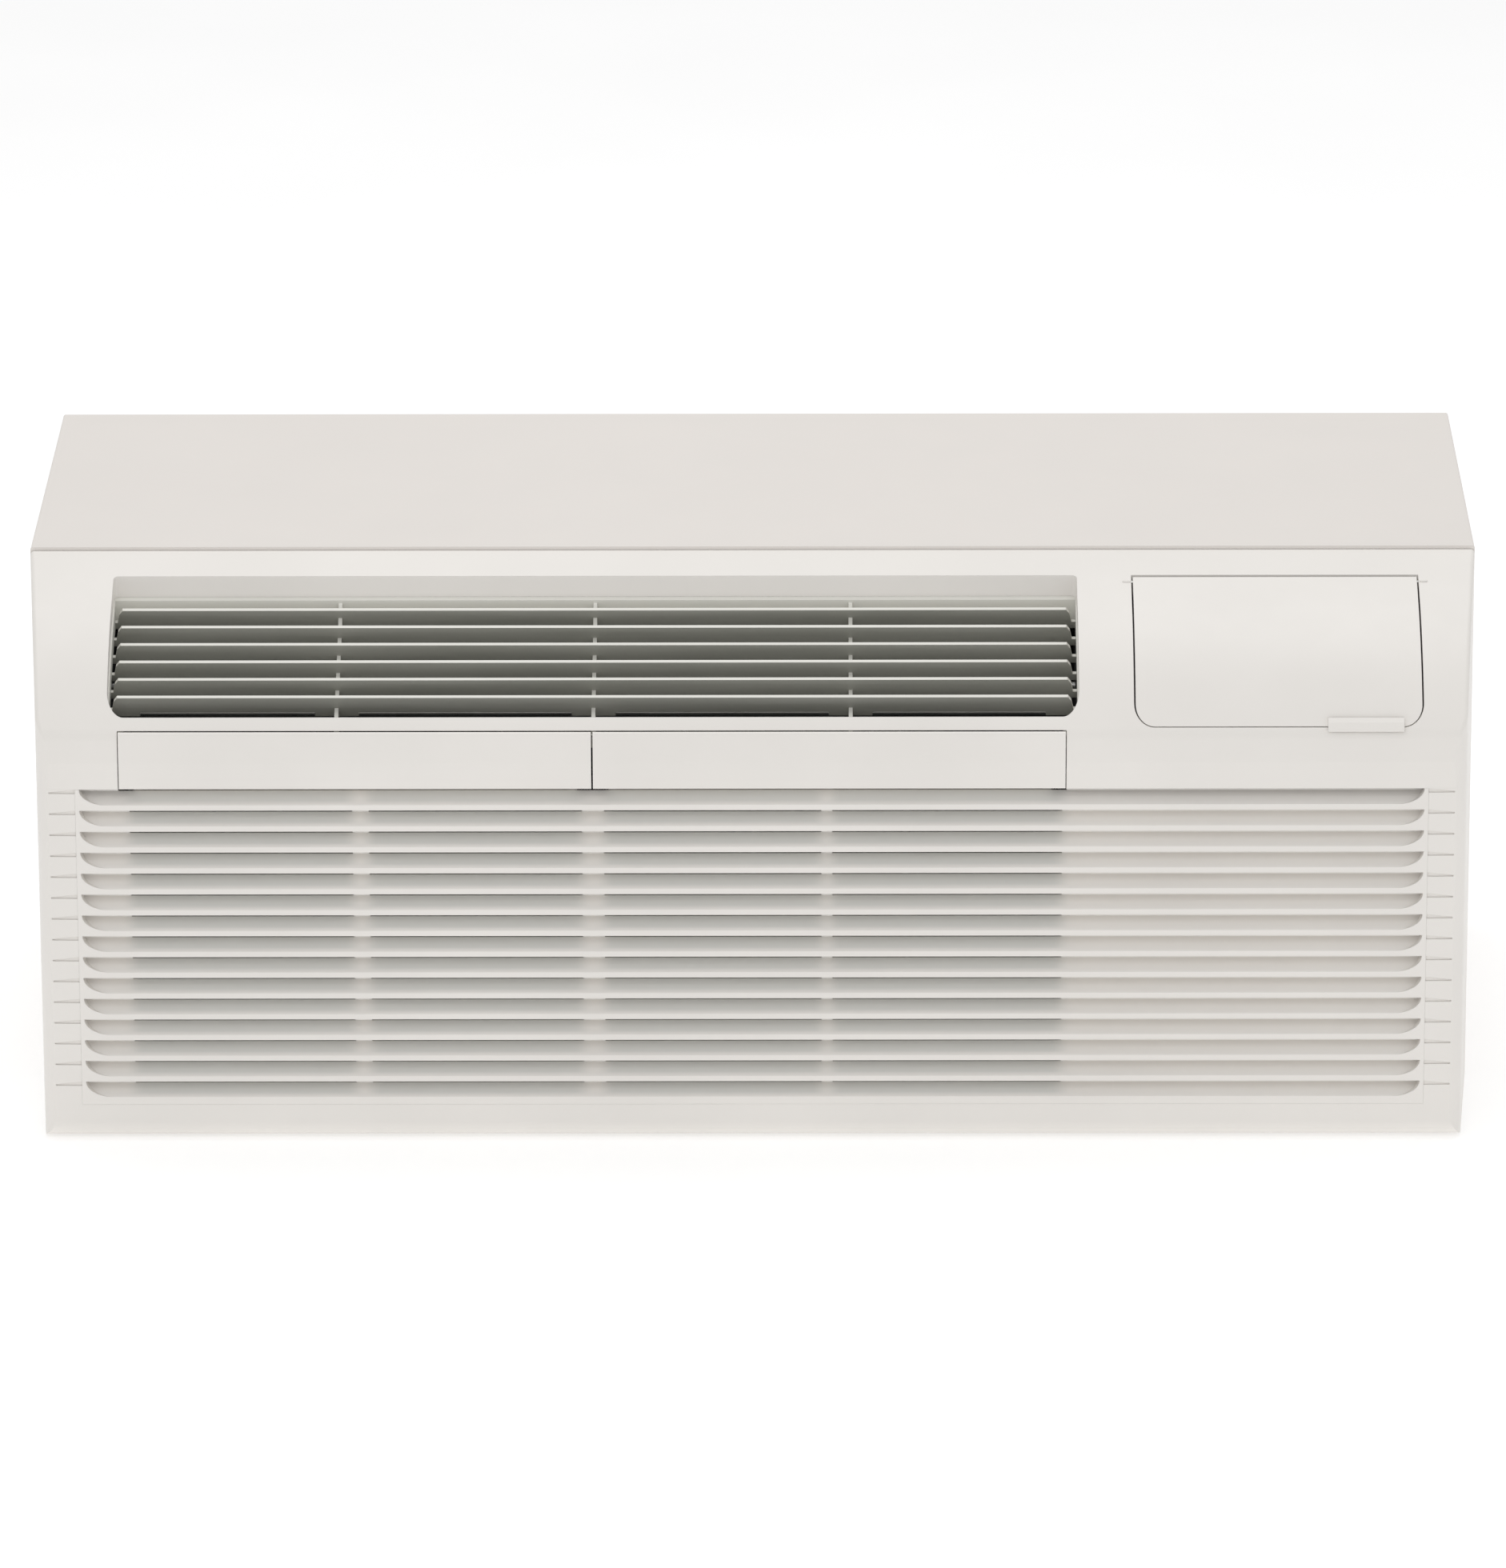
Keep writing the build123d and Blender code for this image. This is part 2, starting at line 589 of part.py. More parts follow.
def filter_rails():
    """Three webs behind the grille, with a flange behind each filter's edge and a stop under it."""
    rails = Part()
    back = FILTER_SET + 0.6
    z0, z1 = FILTER_FOOT_Z - 4, FILTER_TOP_Z - 8
    webs = (
        (FRAME_X[0][0] - 3.5, FRAME_X[0][0] - 0.5),
        (FRAME_X[0][1] + 0.5, FRAME_X[1][0] - 0.5),
        (FRAME_X[1][1] + 0.5, FRAME_X[1][1] + 3.5),
    )
    web = outline((SLAB_BACK, z0), (SLAB_BACK, z1), (filter_y(z1) + back + 2, z1),
                  (filter_y(z0) + back + 2, z0))
    for x0, x1 in webs:
        rails += side_prism(web, x0, x1)
        for side in (x0, x1):
            rails += filter_slice(side - 6, side + 6, z0, z1, back, back + 2)
    stop = outline((filter_y(z0) - 2, z0), (filter_y(z0) + back + 2, z0),
                   (filter_y(z0) + back + 2, z0 + 2), (filter_y(z0) - 2, z0 + 2))
    rails += side_prism(stop, webs[0][0], webs[2][1])
    return rails


# ---------------------------------------------------------------- chassis structure
def base_pan():
    body = box(-PAN_X, PAN_X, PAN_Y[0], PAN_Y[1], PAN_Z, PAN_WALL_Z)
    body -= box(-PAN_X + PAN_T, PAN_X - PAN_T, PAN_Y[0] + PAN_T, PAN_Y[1] - PAN_T, PAN_Z + PAN_T, 50)
    floor = PAN_Z + PAN_T
    for x in (-470, -250, 300, 480):
        body += box(x - 8, x + 8, 0, 160, floor - 0.2, floor + 3)
    body -= cyl_y(500, 18, 9.0, PAN_Y[0] - 1, PAN_Y[0] + 3)
    return body


def bulkhead():
    body = box(-PAN_X + 3, PAN_X - 3, WALL_Y[0], WALL_Y[1], PAN_Z + PAN_T, WALL_TOP)
    body += box(-PAN_X + 3, PAN_X - 3, WALL_Y[0], WALL_Y[1] + 14, WALL_TOP - 1.5, WALL_TOP)
    body += box(-PAN_X + 3, PAN_X - 3, WALL_Y[0], WALL_Y[1] + 14, PAN_Z + PAN_T, PAN_Z + PAN_T + 1.5)
    body -= box(VENT_X[0] + 3, VENT_X[1] - 3, WALL_Y[0] - 1, WALL_Y[1] + 1, VENT_Z[0] + 3, VENT_Z[1] - 3)
    body -= box(VENT_MID - 9, VENT_MID + 9, WALL_Y[0] - 1, WALL_Y[1] + 1, VENT_AXIS[1], ROD_Z + 9)
    for x, z in LINE_HOLES:
        body -= cyl_y(x, z, TUBE_R + 3, WALL_Y[0] - 1, WALL_Y[1] + 1)
    return body + rod_guide()


LINE_HOLES = ((360.0, 80.0), (390.0, 120.0))


def line_grommets():
    body = Part()
    for x, z in LINE_HOLES:
        ring = cyl_y(x, z, TUBE_R + 3, WALL_Y[0], WALL_Y[1])
        ring += cyl_y(x, z, TUBE_R + 5, WALL_Y[1], WALL_Y[1] + 2)
        ring += cyl_y(x, z, TUBE_R + 5, WALL_Y[0] - 2, WALL_Y[0])
        body += ring - cyl_y(x, z, TUBE_R, WALL_Y[0] - 5, WALL_Y[1] + 5)
    return body


def chassis_seals():
    """Foam strips round the bulkhead that close the gap to the sleeve."""
    y0, y1 = WALL_Y[0] + 1.5, WALL_Y[1] + 12
    body = box(-PAN_X + 3, PAN_X - 3, y0, y1, WALL_TOP, WALL_TOP + 6)
    for side in (-1, 1):
        x = side * (PAN_X - 3)
        x0, x1 = sorted((x, x + side * 11))
        body += box(x0, x1, y0, y1, PAN_WALL_Z + 2, WALL_TOP)
    return body


def cord_bushing():
    ring = cyl_y(500, 18, 9.0, PAN_Y[0], PAN_Y[0] + PAN_T) + cyl_y(500, 18, 11.5, PAN_Y[0] - 2.5, PAN_Y[0])
    ring += cyl_y(500, 18, 11.5, PAN_Y[0] + PAN_T, PAN_Y[0] + PAN_T + 2.5)
    return ring - cyl_y(500, 18, 5.0, PAN_Y[0] - 5, PAN_Y[0] + 8)


VENT_AXIS = (WALL_Y[1] + 3.2, VENT_Z[1] + 2.0)
VENT_MID = (VENT_X[0] + VENT_X[1]) / 2
ROD_Z = VENT_AXIS[1] + VENT_ARM


def vent_door():
    """Flap on the outdoor face of the bulkhead, with two tabs above its knuckle for the rod's cross pin."""
    y, z = VENT_AXIS
    y0, y1 = WALL_Y[1] + 1.0, WALL_Y[1] + 2.6
    body = box(VENT_X[0] + 0.5, VENT_X[1] - 0.5, y0, y1, VENT_Z[0], VENT_Z[1] - 2)
    body += box(VENT_X[0] + 3, VENT_X[1] - 3, y0, y1, VENT_Z[1] - 3, z)
    body += cyl_x(y, z, 2.2, VENT_X[0] + 3, VENT_X[1] - 3)
    for x in (VENT_MID - 6.5, VENT_MID + 3.5):
        body += box(x, x + 3, y0, y1, z, ROD_Z + 5)
    return body - cyl_x(y, z, 1.25, VENT_X[0], VENT_X[1])


def vent_hinge():
    """Hinge pin of the vent door, held by an ear at each end."""
    y, z = VENT_AXIS
    pin = cyl_x(y, z, 1.2, VENT_X[0] - 0.5, VENT_X[1] + 0.5)
    for x0, x1 in ((VENT_X[0] - 0.5, VENT_X[0] + 1.5), (VENT_X[1] - 1.5, VENT_X[1] + 0.5)):
        pin += box(x0, x1, WALL_Y[1], y + 2, z - 1.5, z + 3)
    return pin


def vent_rod():
    """Pull rod: a knob at the front and, past the bulkhead, a cross pin behind the vent door's tabs."""
    pin_y = WALL_Y[1] + 4.5
    rod = cyl_y(VENT_MID, ROD_Z, 2.5, -212, pin_y + 2.2)
    rod += cyl_x(pin_y, ROD_Z, 1.5, VENT_MID - 6, VENT_MID + 6)
    knob = cyl_y(VENT_MID, ROD_Z, 8, -220, -206)
    return rod + fillet(knob.edges(), 1.5)


def rod_guide():
    """Angle on the bulkhead that steadies the vent rod near its knob."""
    x0 = VENT_X[0] - 0.5
    body = box(x0, x0 + 1.5, -198, WALL_Y[0], ROD_Z - 10, ROD_Z + 10)
    body += box(x0, VENT_MID + 8, -199.5, -198, ROD_Z - 10, ROD_Z + 10)
    return body - cyl_y(VENT_MID, ROD_Z, 2.56, -205, -190)


# ---------------------------------------------------------------- room side
def coil_y(z):
    """Depth of the room-side coil's front face."""
    return filter_y(z) + FILTER_SET + COIL_GAP


def indoor_coil():
    z0, z1 = COIL_Z
    deep = COIL_T / math.cos(LEAN)
    face = outline((coil_y(z0), z0), (coil_y(z1), z1), (coil_y(z1) + deep, z1), (coil_y(z0) + deep, z0))
    body = side_prism(face, COIL_X[0], COIL_X[1])
    low = PAN_Z + PAN_T
    plate = outline((coil_y(low) - 2, low), (coil_y(z1) - 2, z1 + 2), (coil_y(z1) + deep + 1, z1 + 2),
                    (coil_y(z0) + deep + 1, z0), (coil_y(z0) + deep + 1, low))
    body += side_prism(plate, COIL_X[0] - COIL_PLATE, COIL_X[0])
    return body + side_prism(plate, COIL_X[1], COIL_X[1] + COIL_PLATE)


def coil_bends(x_end, side, places, dy, dz, r):
    """Return bends of a coil: half rings that join neighbouring tubes beyond the end plate."""
    bends = Part()
    span = math.hypot(dy, dz)
    for y, z in places:
        centre = (x_end, y + dy / 2, z + dz / 2)
        plane = Plane(origin=centre, x_dir=(0, dy / span, dz / span), z_dir=(0, dz / span, -dy / span))
        ring = plane * Torus(span / 2, r)
        near, far = sorted((x_end, x_end + 60 * side))
        bends += ring & box(near, far, -300, 300, 0, 420)
    return bends


def indoor_coil_bends():
    step = 44.0
    places = []
    z = COIL_Z[0] + 20
    while z + step / 2 < COIL_Z[1] - 8:
        for row in (10.0, 28.0):
            places.append((coil_y(z) + row, z))
        z += step
    dz = step / 2
    dy = -dz * math.tan(LEAN)
    right = coil_bends(COIL_X[1] + COIL_PLATE, 1, places, dy, dz, 3.5)
    return right + coil_bends(COIL_X[0] - COIL_PLATE, -1, places, dy, dz, 3.5)


def drain_tray():
    """Trough under the room-side coil."""
    y0, y1 = -196.0, -128.0
    body = box(COIL_X[0] + 1, COIL_X[1] - 1, y0, y1, 8, 34)
    body -= box(COIL_X[0] + 3, COIL_X[1] - 3, y0 + 2, y1 - 2, 10, 50)
    return body


def duct_walls():
    """Scroll behind the blower wheel, and the duct floor that rises from the tongue to the louvre."""
    y, z = BLOWER
    gap = 62.0
    start = (y, z - gap)
    side = (y + gap, z)
    end = (-144.5, 358.0)
    outer = make_face([
        TangentArc(start, side, tangent=(1, 0)),
        TangentArc(side, end, tangent=(0, 1)),
        Line(end, (end[0] + 2.5, end[1] - 0.4)),
        TangentArc((side[0] + DUCT_T, z), (end[0] + 2.5, end[1] - 0.4), tangent=(0, 1)),
        TangentArc((y, z - gap - DUCT_T), (side[0] + DUCT_T, z), tangent=(1, 0)),
        Line((y, z - gap - DUCT_T), start),
    ])
    tongue = outline((-158, 258), (-156.5, 260.5), (-236, 303), (-236, 300.6), (-160, 256.4))
    return outer, tongue


def scroll_housing():
    scroll, tongue = duct_walls()
    body = side_prism(scroll, DUCT_X[0], DUCT_X[1]) + side_prism(tongue, DUCT_X[0], DUCT_X[1])
    z0, z1 = 60.0, 262.0
    deep = COIL_T / math.cos(LEAN) + 3
    plate = outline(
        (coil_y(z0) + deep, z0), (coil_y(z1) + deep, z1), (-238, 299.5), (-238, 304.5), (-147, 361),
        (-140, 361), (-120, 358), (-88, 344), (-58, 314), (-45, 285), (-40, 262), (-40, z0),
    )
    for x0 in (DUCT_X[0], DUCT_X[1] - DUCT_T):
        side = side_prism(plate, x0, x0 + DUCT_T)
        side -= cyl_x(BLOWER[0], BLOWER[1], 16, x0 - 1, x0 + DUCT_T + 1)
        body += side
    return body


def blower_wheel():
    """Cross-flow wheel: end and middle discs joined by slim curved vanes."""
    x0, x1 = BLOWER_X
    y, z = BLOWER
    discs = 6
    body = Part()
    for k in range(discs):
        x = x0 + (x1 - x0 - 2.5) * k / (discs - 1)
        bore = SHAFT_R if k in (0, discs - 1) else 34
        body += cyl_x(y, z, BLOWER_R, x, x + 2.5) - cyl_x(y, z, bore, x - 1, x + 4)
    vane = outline((40, -3), (47, -0.6), (54.5, 3.0), (54.2, 4.0), (46.6, 0.5), (39.8, -1.8))
    for k in range(BLOWER_BLADES):
        angle = 360.0 * k / BLOWER_BLADES
        body += side_prism(Pos(y, z) * Rot(0, 0, angle) * vane, x0, x1)
    return body


def blower_shaft():
    y, z = BLOWER
    left = cyl_x(y, z, SHAFT_R, BLOWER_X[0] - 14, BLOWER_X[0] + 2.5)
    return left + cyl_x(y, z, SHAFT_R, BLOWER_X[1] - 2.5, 262)


def blower_bearing():
    """Rubber-cased bearing in the left end plate."""
    y, z = BLOWER
    body = cyl_x(y, z, 16, DUCT_X[0], DUCT_X[0] + DUCT_T) + cyl_x(y, z, 20, DUCT_X[0] - 6, DUCT_X[0])
    return body - cyl_x(y, z, SHAFT_R + 0.05, DUCT_X[0] - 8, DUCT_X[0] + 8)


def blower_motor():
    y, z = BLOWER
    can = cyl_x(y, z, 42, 264, 330)
    can = fillet(can.edges(), 6)
    can += cyl_x(y, z, 12, 252, 270)
    can -= cyl_x(y, z, SHAFT_R + 0.05, 250, 262.5)
    return can


def motor_cradle():
    """Bent bracket that clamps the blower motor to the bulkhead."""
    y, z = BLOWER
    ring = side_prism(Pos(y, z) * (Circle(45) - Circle(42)), 284, 310)
    strap = box(284, 310, y + 43, WALL_Y[0], z - 14, z + 14)
    strap += box(270, 324, WALL_Y[0] - 2, WALL_Y[0], z - 60, z + 60)
    return ring + (strap - cyl_x(y, z, 44, 280, 320))


def heater_rods():
    """Electric heater: three finned rods across the duct."""
    rods = Part()
    for y, z in ((-170, 296), (-190, 310), (-165, 322)):
        rods += cyl_x(y, z, 3.5, DUCT_X[0] + DUCT_T, DUCT_X[1] - DUCT_T)
    return rods


# ---------------------------------------------------------------- controls
PANEL_RUN = math.hypot(PANEL_HIGH[0] - PANEL_LOW[0], PANEL_HIGH[1] - PANEL_LOW[1])
PANEL_OUT = ((PANEL_LOW[1] - PANEL_HIGH[1]) / PANEL_RUN, (PANEL_HIGH[0] - PANEL_LOW[0]) / PANEL_RUN)
PANEL_MID = ((PANEL_HIGH[0] + PANEL_LOW[0]) / 2, (PANEL_HIGH[1] + PANEL_LOW[1]) / 2)


def panel_plane(height):
    """A plane parallel to the control panel: local X along the cabinet, local Y up the slope."""
    return Plane(
        origin=(0, PANEL_MID[0] + PANEL_OUT[0] * height, PANEL_MID[1] + PANEL_OUT[1] * height),
        x_dir=(1, 0, 0), z_dir=(0, PANEL_OUT[0], PANEL_OUT[1]),
    )


def on_panel(face, low, high):
    return extrude(panel_plane(low) * face, amount=high - low)


def button_face(x, grow=0.0):
    return Pos(x, -18) * RectangleRounded(BUTTON_W + 2 * grow, BUTTON_H + 2 * grow, 3 + grow)


def control_panel():
    face = rect(CONTROL_X[0], CONTROL_X[1], -PANEL_RUN / 2, PANEL_RUN / 2)
    face = fillet(face.vertices(), 4)
    for x in BUTTON_X:
        face -= button_face(x, 0.4)
    face -= Pos(348, 14) * Rectangle(70, 24)
    body = on_panel(face, -CONTROL_T, 0)
    rim = rect(CONTROL_X[0], CONTROL_X[1], -PANEL_RUN / 2, PANEL_RUN / 2)
    rim = fillet(rim.vertices(), 4)
    rim -= rect(CONTROL_X[0] + 2, CONTROL_X[1] - 2, -PANEL_RUN / 2 + 2, PANEL_RUN / 2 - 2)
    body += on_panel(rim, -9, -CONTROL_T)
    ridge = Pos(348, 14) * (RectangleRounded(78, 32, 4) - Rectangle(70, 24))
    return body + on_panel(ridge, 0, 1.0)


def display_window():
    return on_panel(Pos(348, 14) * Rectangle(70, 24), -2.2, 0.2)


def button(x):
    """A key cap that stands proud of the panel, with a flange behind it."""
    cap = on_panel(button_face(x), -CONTROL_T - 1.2, BUTTON_PROUD)
    top = cap.faces().sort_by(Axis.Z)[-1]
    cap = fillet(top.edges(), 0.8)
    flange = on_panel(Pos(x, -18) * Rectangle(BUTTON_W + 4, BUTTON_H + 4), -CONTROL_T - 1.5, -CONTROL_T - 0.3)
    return cap + flange


def control_board():
    board = on_panel(rect(CONTROL_X[0] + 8, CONTROL_X[1] - 8, -38, 36), -11, -9.4)
    parts = on_panel(rect(420, 448, 8, 30), -9.4, -4.5) + on_panel(rect(455, 472, 4, 26), -9.4, -5.5)
    parts += on_panel(rect(322, 374, 6, 22), -9.4, -3.0)
    switches = Part()
    for x in BUTTON_X:
        switches += on_panel(Pos(x, -18) * Rectangle(6, 6), -9.4, -6.0)
    return board + parts + switches


def control_box():
    """Open-topped steel box under the control panel."""
    back_z = PANEL_HIGH[1] - 12.5
    low_z = PANEL_LOW[1] - 12.5
    profile = outline((PANEL_LOW[0] + 4, 230), (PANEL_HIGH[0] - 2, 230), (PANEL_HIGH[0] - 2, back_z),
                      (PANEL_LOW[0] + 4, low_z))
    front, rear = PANEL_LOW[0] + 5.5, PANEL_HIGH[0] - 3.5
    inner = outline((front, 231.5), (rear, 231.5), (rear, back_z + 20), (front, low_z + 20))
    body = side_prism(profile, 262, 500) - side_prism(inner, 263.5, 498.5)
    for x in (356, 488):
        body += box(x - 8, x + 8, PANEL_HIGH[0] - 2, WALL_Y[0], 232, 233.5)
    return body


def run_capacitor():
    can = cyl_z(470, -180, 19, 231.5, 300)
    can += box(464, 467, -190, -170, 300, 308) + box(473, 476, -190, -170, 300, 308)
    return can


def terminal_block():
    body = box(375, 435, -224, -206, 231.5, 247)
    for x in (385, 400, 415, 430):
        body -= box(x - 4, x + 4, -222, -208, 243, 250)
    return body


# ---------------------------------------------------------------- outdoor side
def compressor():
    x, y = COMPRESSOR
    z0, z1 = COMPRESSOR_Z
    can = cyl_z(x, y, COMPRESSOR_R, z0, z1)
    can = fillet(can.edges(), 24)
    band = cyl_z(x, y, COMPRESSOR_R + 2, 150, 162)
    foot = Pos(x, y) * (RegularPolygon(84, 3))
    foot = fillet(foot.vertices(), 12)
    for px, py in compressor_feet_places():
        foot -= Pos(px, py) * Circle(7)
    base = plan_prism(foot, 20, 24)
    cap = cyl_z(x - 18, y, 12, z1 - 4, z1 + 10)
    return can + band + base + cap


def compressor_feet_places():
    x, y = COMPRESSOR
    return [(x + 64 * math.cos(math.radians(a)), y + 64 * math.sin(math.radians(a))) for a in (0, 120, 240)]


def compressor_feet():
    feet = Part()
    floor = PAN_Z + PAN_T
    for x, y in compressor_feet_places():
        foot = cyl_z(x, y, 11, floor, 20) + cyl_z(x, y, 7, 20, 24) + cyl_z(x, y, 10, 24, 27)
        feet += foot - cyl_z(x, y, 3.5, floor, 30)
    return feet


def compressor_studs():
    studs = Part()
    for x, y in compressor_feet_places():
        studs += cyl_z(x, y, 3.5, PAN_Z + PAN_T, 34) + plan_prism(Pos(x, y) * RegularPolygon(6.5, 6), 27, 32)
    return studs


def accumulator():
    x, y = ACCUMULATOR
    can = cyl_z(x, y, ACCUMULATOR_R, 70, 210)
    can = fillet(can.edges(), 14)
    strap = box(COMPRESSOR[0] + COMPRESSOR_R - 1, x - ACCUMULATOR_R + 3, y - 6, y + 6, 128, 142)
    strap -= cyl_z(COMPRESSOR[0], COMPRESSOR[1], COMPRESSOR_R, 100, 200)
    return can + strap


def outdoor_coil():
    return box(*OUT_COIL_X, *OUT_COIL_Y, *OUT_COIL_Z)


def outdoor_coil_bends():
    step = 50.0
    places = []
    z = OUT_COIL_Z[0] + 18
    while z + step / 2 < OUT_COIL_Z[1] - 8:
        for row in (9.0, 24.0):
            places.append((OUT_COIL_Y[0] + row, z))
        z += step
    right = coil_bends(OUT_COIL_X[1], 1, places, 0.0, step / 2, 3.5)
    return right + coil_bends(OUT_COIL_X[0], -1, places, 0.0, step / 2, 3.5)


def fan_shroud():
    x, z = FAN
    plate = rect(OUT_COIL_X[0] + 30, OUT_COIL_X[1] - 30, PAN_Z + PAN_T, OUT_COIL_Z[1])
    body = front_prism(plate - Pos(x, z) * Circle(FAN_R + 7), SHROUD_Y, SHROUD_Y + 1.5)
    body += front_prism(Pos(x, z) * (Circle(FAN_R + 8.5) - Circle(FAN_R + 7)), SHROUD_Y, OUT_COIL_Y[0])
    for x0, x1 in ((OUT_COIL_X[0] + 30, OUT_COIL_X[0] + 31.5), (OUT_COIL_X[1] - 31.5, OUT_COIL_X[1] - 30)):
        body += box(x0, x1, SHROUD_Y, OUT_COIL_Y[0], PAN_Z + PAN_T, OUT_COIL_Z[1])
    lid = box(OUT_COIL_X[0] + 30, OUT_COIL_X[1] - 30, SHROUD_Y, OUT_COIL_Y[0], OUT_COIL_Z[1] - 1.5,
              OUT_COIL_Z[1])
    return body + lid


def outdoor_fan():
    """Axial fan: hub, five pitched blades and a slinger ring round their tips."""
    x, z = FAN
    y0, y1 = FAN_Y
    hub = cyl_y(x, z, 42, y0 + 6, y1 - 4) - cyl_y(x, z, 38, y0 + 5, y1 - 8)
    hub += cyl_y(x, z, 9, y0 + 6, y1 - 6)
    hub -= cyl_y(x, z, 4.0, y0, y1 - 8)
    ring = front_prism(Pos(x, z) * (Circle(FAN_R) - Circle(FAN_R - 3)), y1 - 14, y1)
    body = hub + ring
    for k in range(FAN_BLADES):
        blade = Rot(32, 0, 0) * Box(FAN_R - 40, 2.4, 62)
        blade = Pos((FAN_R + 38) / 2, 0, 0) * blade
        blade = Pos(x, (y0 + y1) / 2, z) * Rot(0, 360.0 * k / FAN_BLADES, 0) * blade
        keep = front_prism(Pos(x, z) * (Circle(FAN_R - 2) - Circle(41)), y0, y1)
        body += blade & keep
    return body


def outdoor_fan_motor():
    x, z = FAN
    can = cyl_y(x, z, 56, 6, 90)
    can = fillet(can.edges(), 8)
    return can + cyl_y(x, z, 12, 88, 98)


def outdoor_fan_shaft():
    x, z = FAN
    return cyl_y(x, z, 4.0, 98.4, FAN_Y[1] - 8)


def fan_motor_stand():
    """Pedestal that carries the outdoor fan motor on the base pan."""
    x, z = FAN
    floor = PAN_Z + PAN_T
    body = box(x - 60, x + 60, 20, 76, floor, floor + 2)
    body += box(x - 30, x + 30, 24, 26, floor, z) + box(x - 30, x + 30, 70, 72, floor, z)
    body += front_prism(Pos(x, z) * (Circle(58) - Circle(56)), 24, 72)
    return body - cyl_y(x, z, 56, 0, 100)


def discharge_line():
    x, y = COMPRESSOR
    top = COMPRESSOR_Z[1]
    end_x = OUT_COIL_X[0]
    points = [(x + 20, y, top), (x + 20, y, 313), (x + 20, 150, 313), (end_x - 10, 150, 313)]
    points += [(end_x - 10, 199, 313), (end_x, 199, 313)]
    return tube(points, [24, 24, 16, 9], TUBE_R)


def suction_line():
    ax, ay = ACCUMULATOR
    x, z = LINE_HOLES[0]
    points = [(ax, ay, 210), (ax, ay, 300), (ax, -10, 300), (-60, -10, 300), (-60, -10, 40), (x, -10, 40)]
    points += [(x, -10, z), (x, -150, z), (244, -150, z)]
    return tube(points, [24, 18, 24, 24, 14, 14, 14], TUBE_R)


def liquid_line():
    points = [(480, 199, 60), (500, 199, 60), (500, 120, 60), (430, 120, 60), (430, 40, 60)]
    return tube(points, [9, 18, 18], TUBE_R)


def filter_drier():
    can = cyl_y(430, 60, 12, -2, 36)
    can = fillet(can.edges(), 5)
    return can


def capillary():
    """Coiled capillary between the drier and the room-side coil."""
    points = [(430, -2, 60), (430, -16, 60), (390, -16, 60), (390, -16, 120), (390, -120, 120),
              (252, -120, 120)]
    return tube(points, [5, 5, 5, 12], 1.5)


NODES = {
    "wall_sleeve": wall_sleeve,
    "outdoor_grille": outdoor_grille,
    "grille_screws": grille_screws,
    "front_cover": front_cover,
    "return_grille": return_grille,
    "discharge_louvre": discharge_louvre,
    "control_door": control_door,
    "door_pins": door_pins,
    "filter_rails": filter_rails,
    "base_pan": base_pan,
    "bulkhead": bulkhead,
    "line_grommets": line_grommets,
    "chassis_seals": chassis_seals,
    "cord_bushing": cord_bushing,
    "vent_door": vent_door,
    "vent_hinge": vent_hinge,
    "vent_rod": vent_rod,
    "indoor_coil": indoor_coil,
    "indoor_coil_bends": indoor_coil_bends,
    "drain_tray": drain_tray,
    "scroll_housing": scroll_housing,
    "blower_wheel": blower_wheel,
    "blower_shaft": blower_shaft,
    "blower_bearing": blower_bearing,
    "blower_motor": blower_motor,
    "motor_cradle": motor_cradle,
    "heater_rods": heater_rods,
    "control_panel": control_panel,
    "display_window": display_window,
    "control_board": control_board,
    "control_box": control_box,
    "run_capacitor": run_capacitor,
    "terminal_block": terminal_block,
    "compressor": compressor,
    "compressor_feet": compressor_feet,
    "compressor_studs": compressor_studs,
    "accumulator": accumulator,
    "outdoor_coil": outdoor_coil,
    "outdoor_coil_bends": outdoor_coil_bends,
    "fan_shroud": fan_shroud,
    "outdoor_fan": outdoor_fan,
    "outdoor_fan_motor": outdoor_fan_motor,
    "outdoor_fan_shaft": outdoor_fan_shaft,
    "fan_motor_stand": fan_motor_stand,
    "discharge_line": discharge_line,
    "suction_line": suction_line,
    "liquid_line": liquid_line,
    "filter_drier": filter_drier,
    "capillary": capillary,
}


def save(name, shape):
    export_step(shape, "parts/" + name + ".step")


os.makedirs("parts", exist_ok=True)
for name, make in NODES.items():
    save(name, make())
for side, (x0, x1), (f0, f1) in zip(("left", "right"), PANEL_X, FRAME_X):
    save("filter_handle_" + side, filter_handle(x0, x1, f0, f1))
    save("filter_frame_" + side, filter_frame(f0, f1))
    save("filter_net_" + side, filter_net(f0, f1))
for name, x in zip(BUTTON_NAMES, BUTTON_X):
    save("button_" + name, button(x))
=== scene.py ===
import math
import random

import bpy
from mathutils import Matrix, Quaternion, Vector


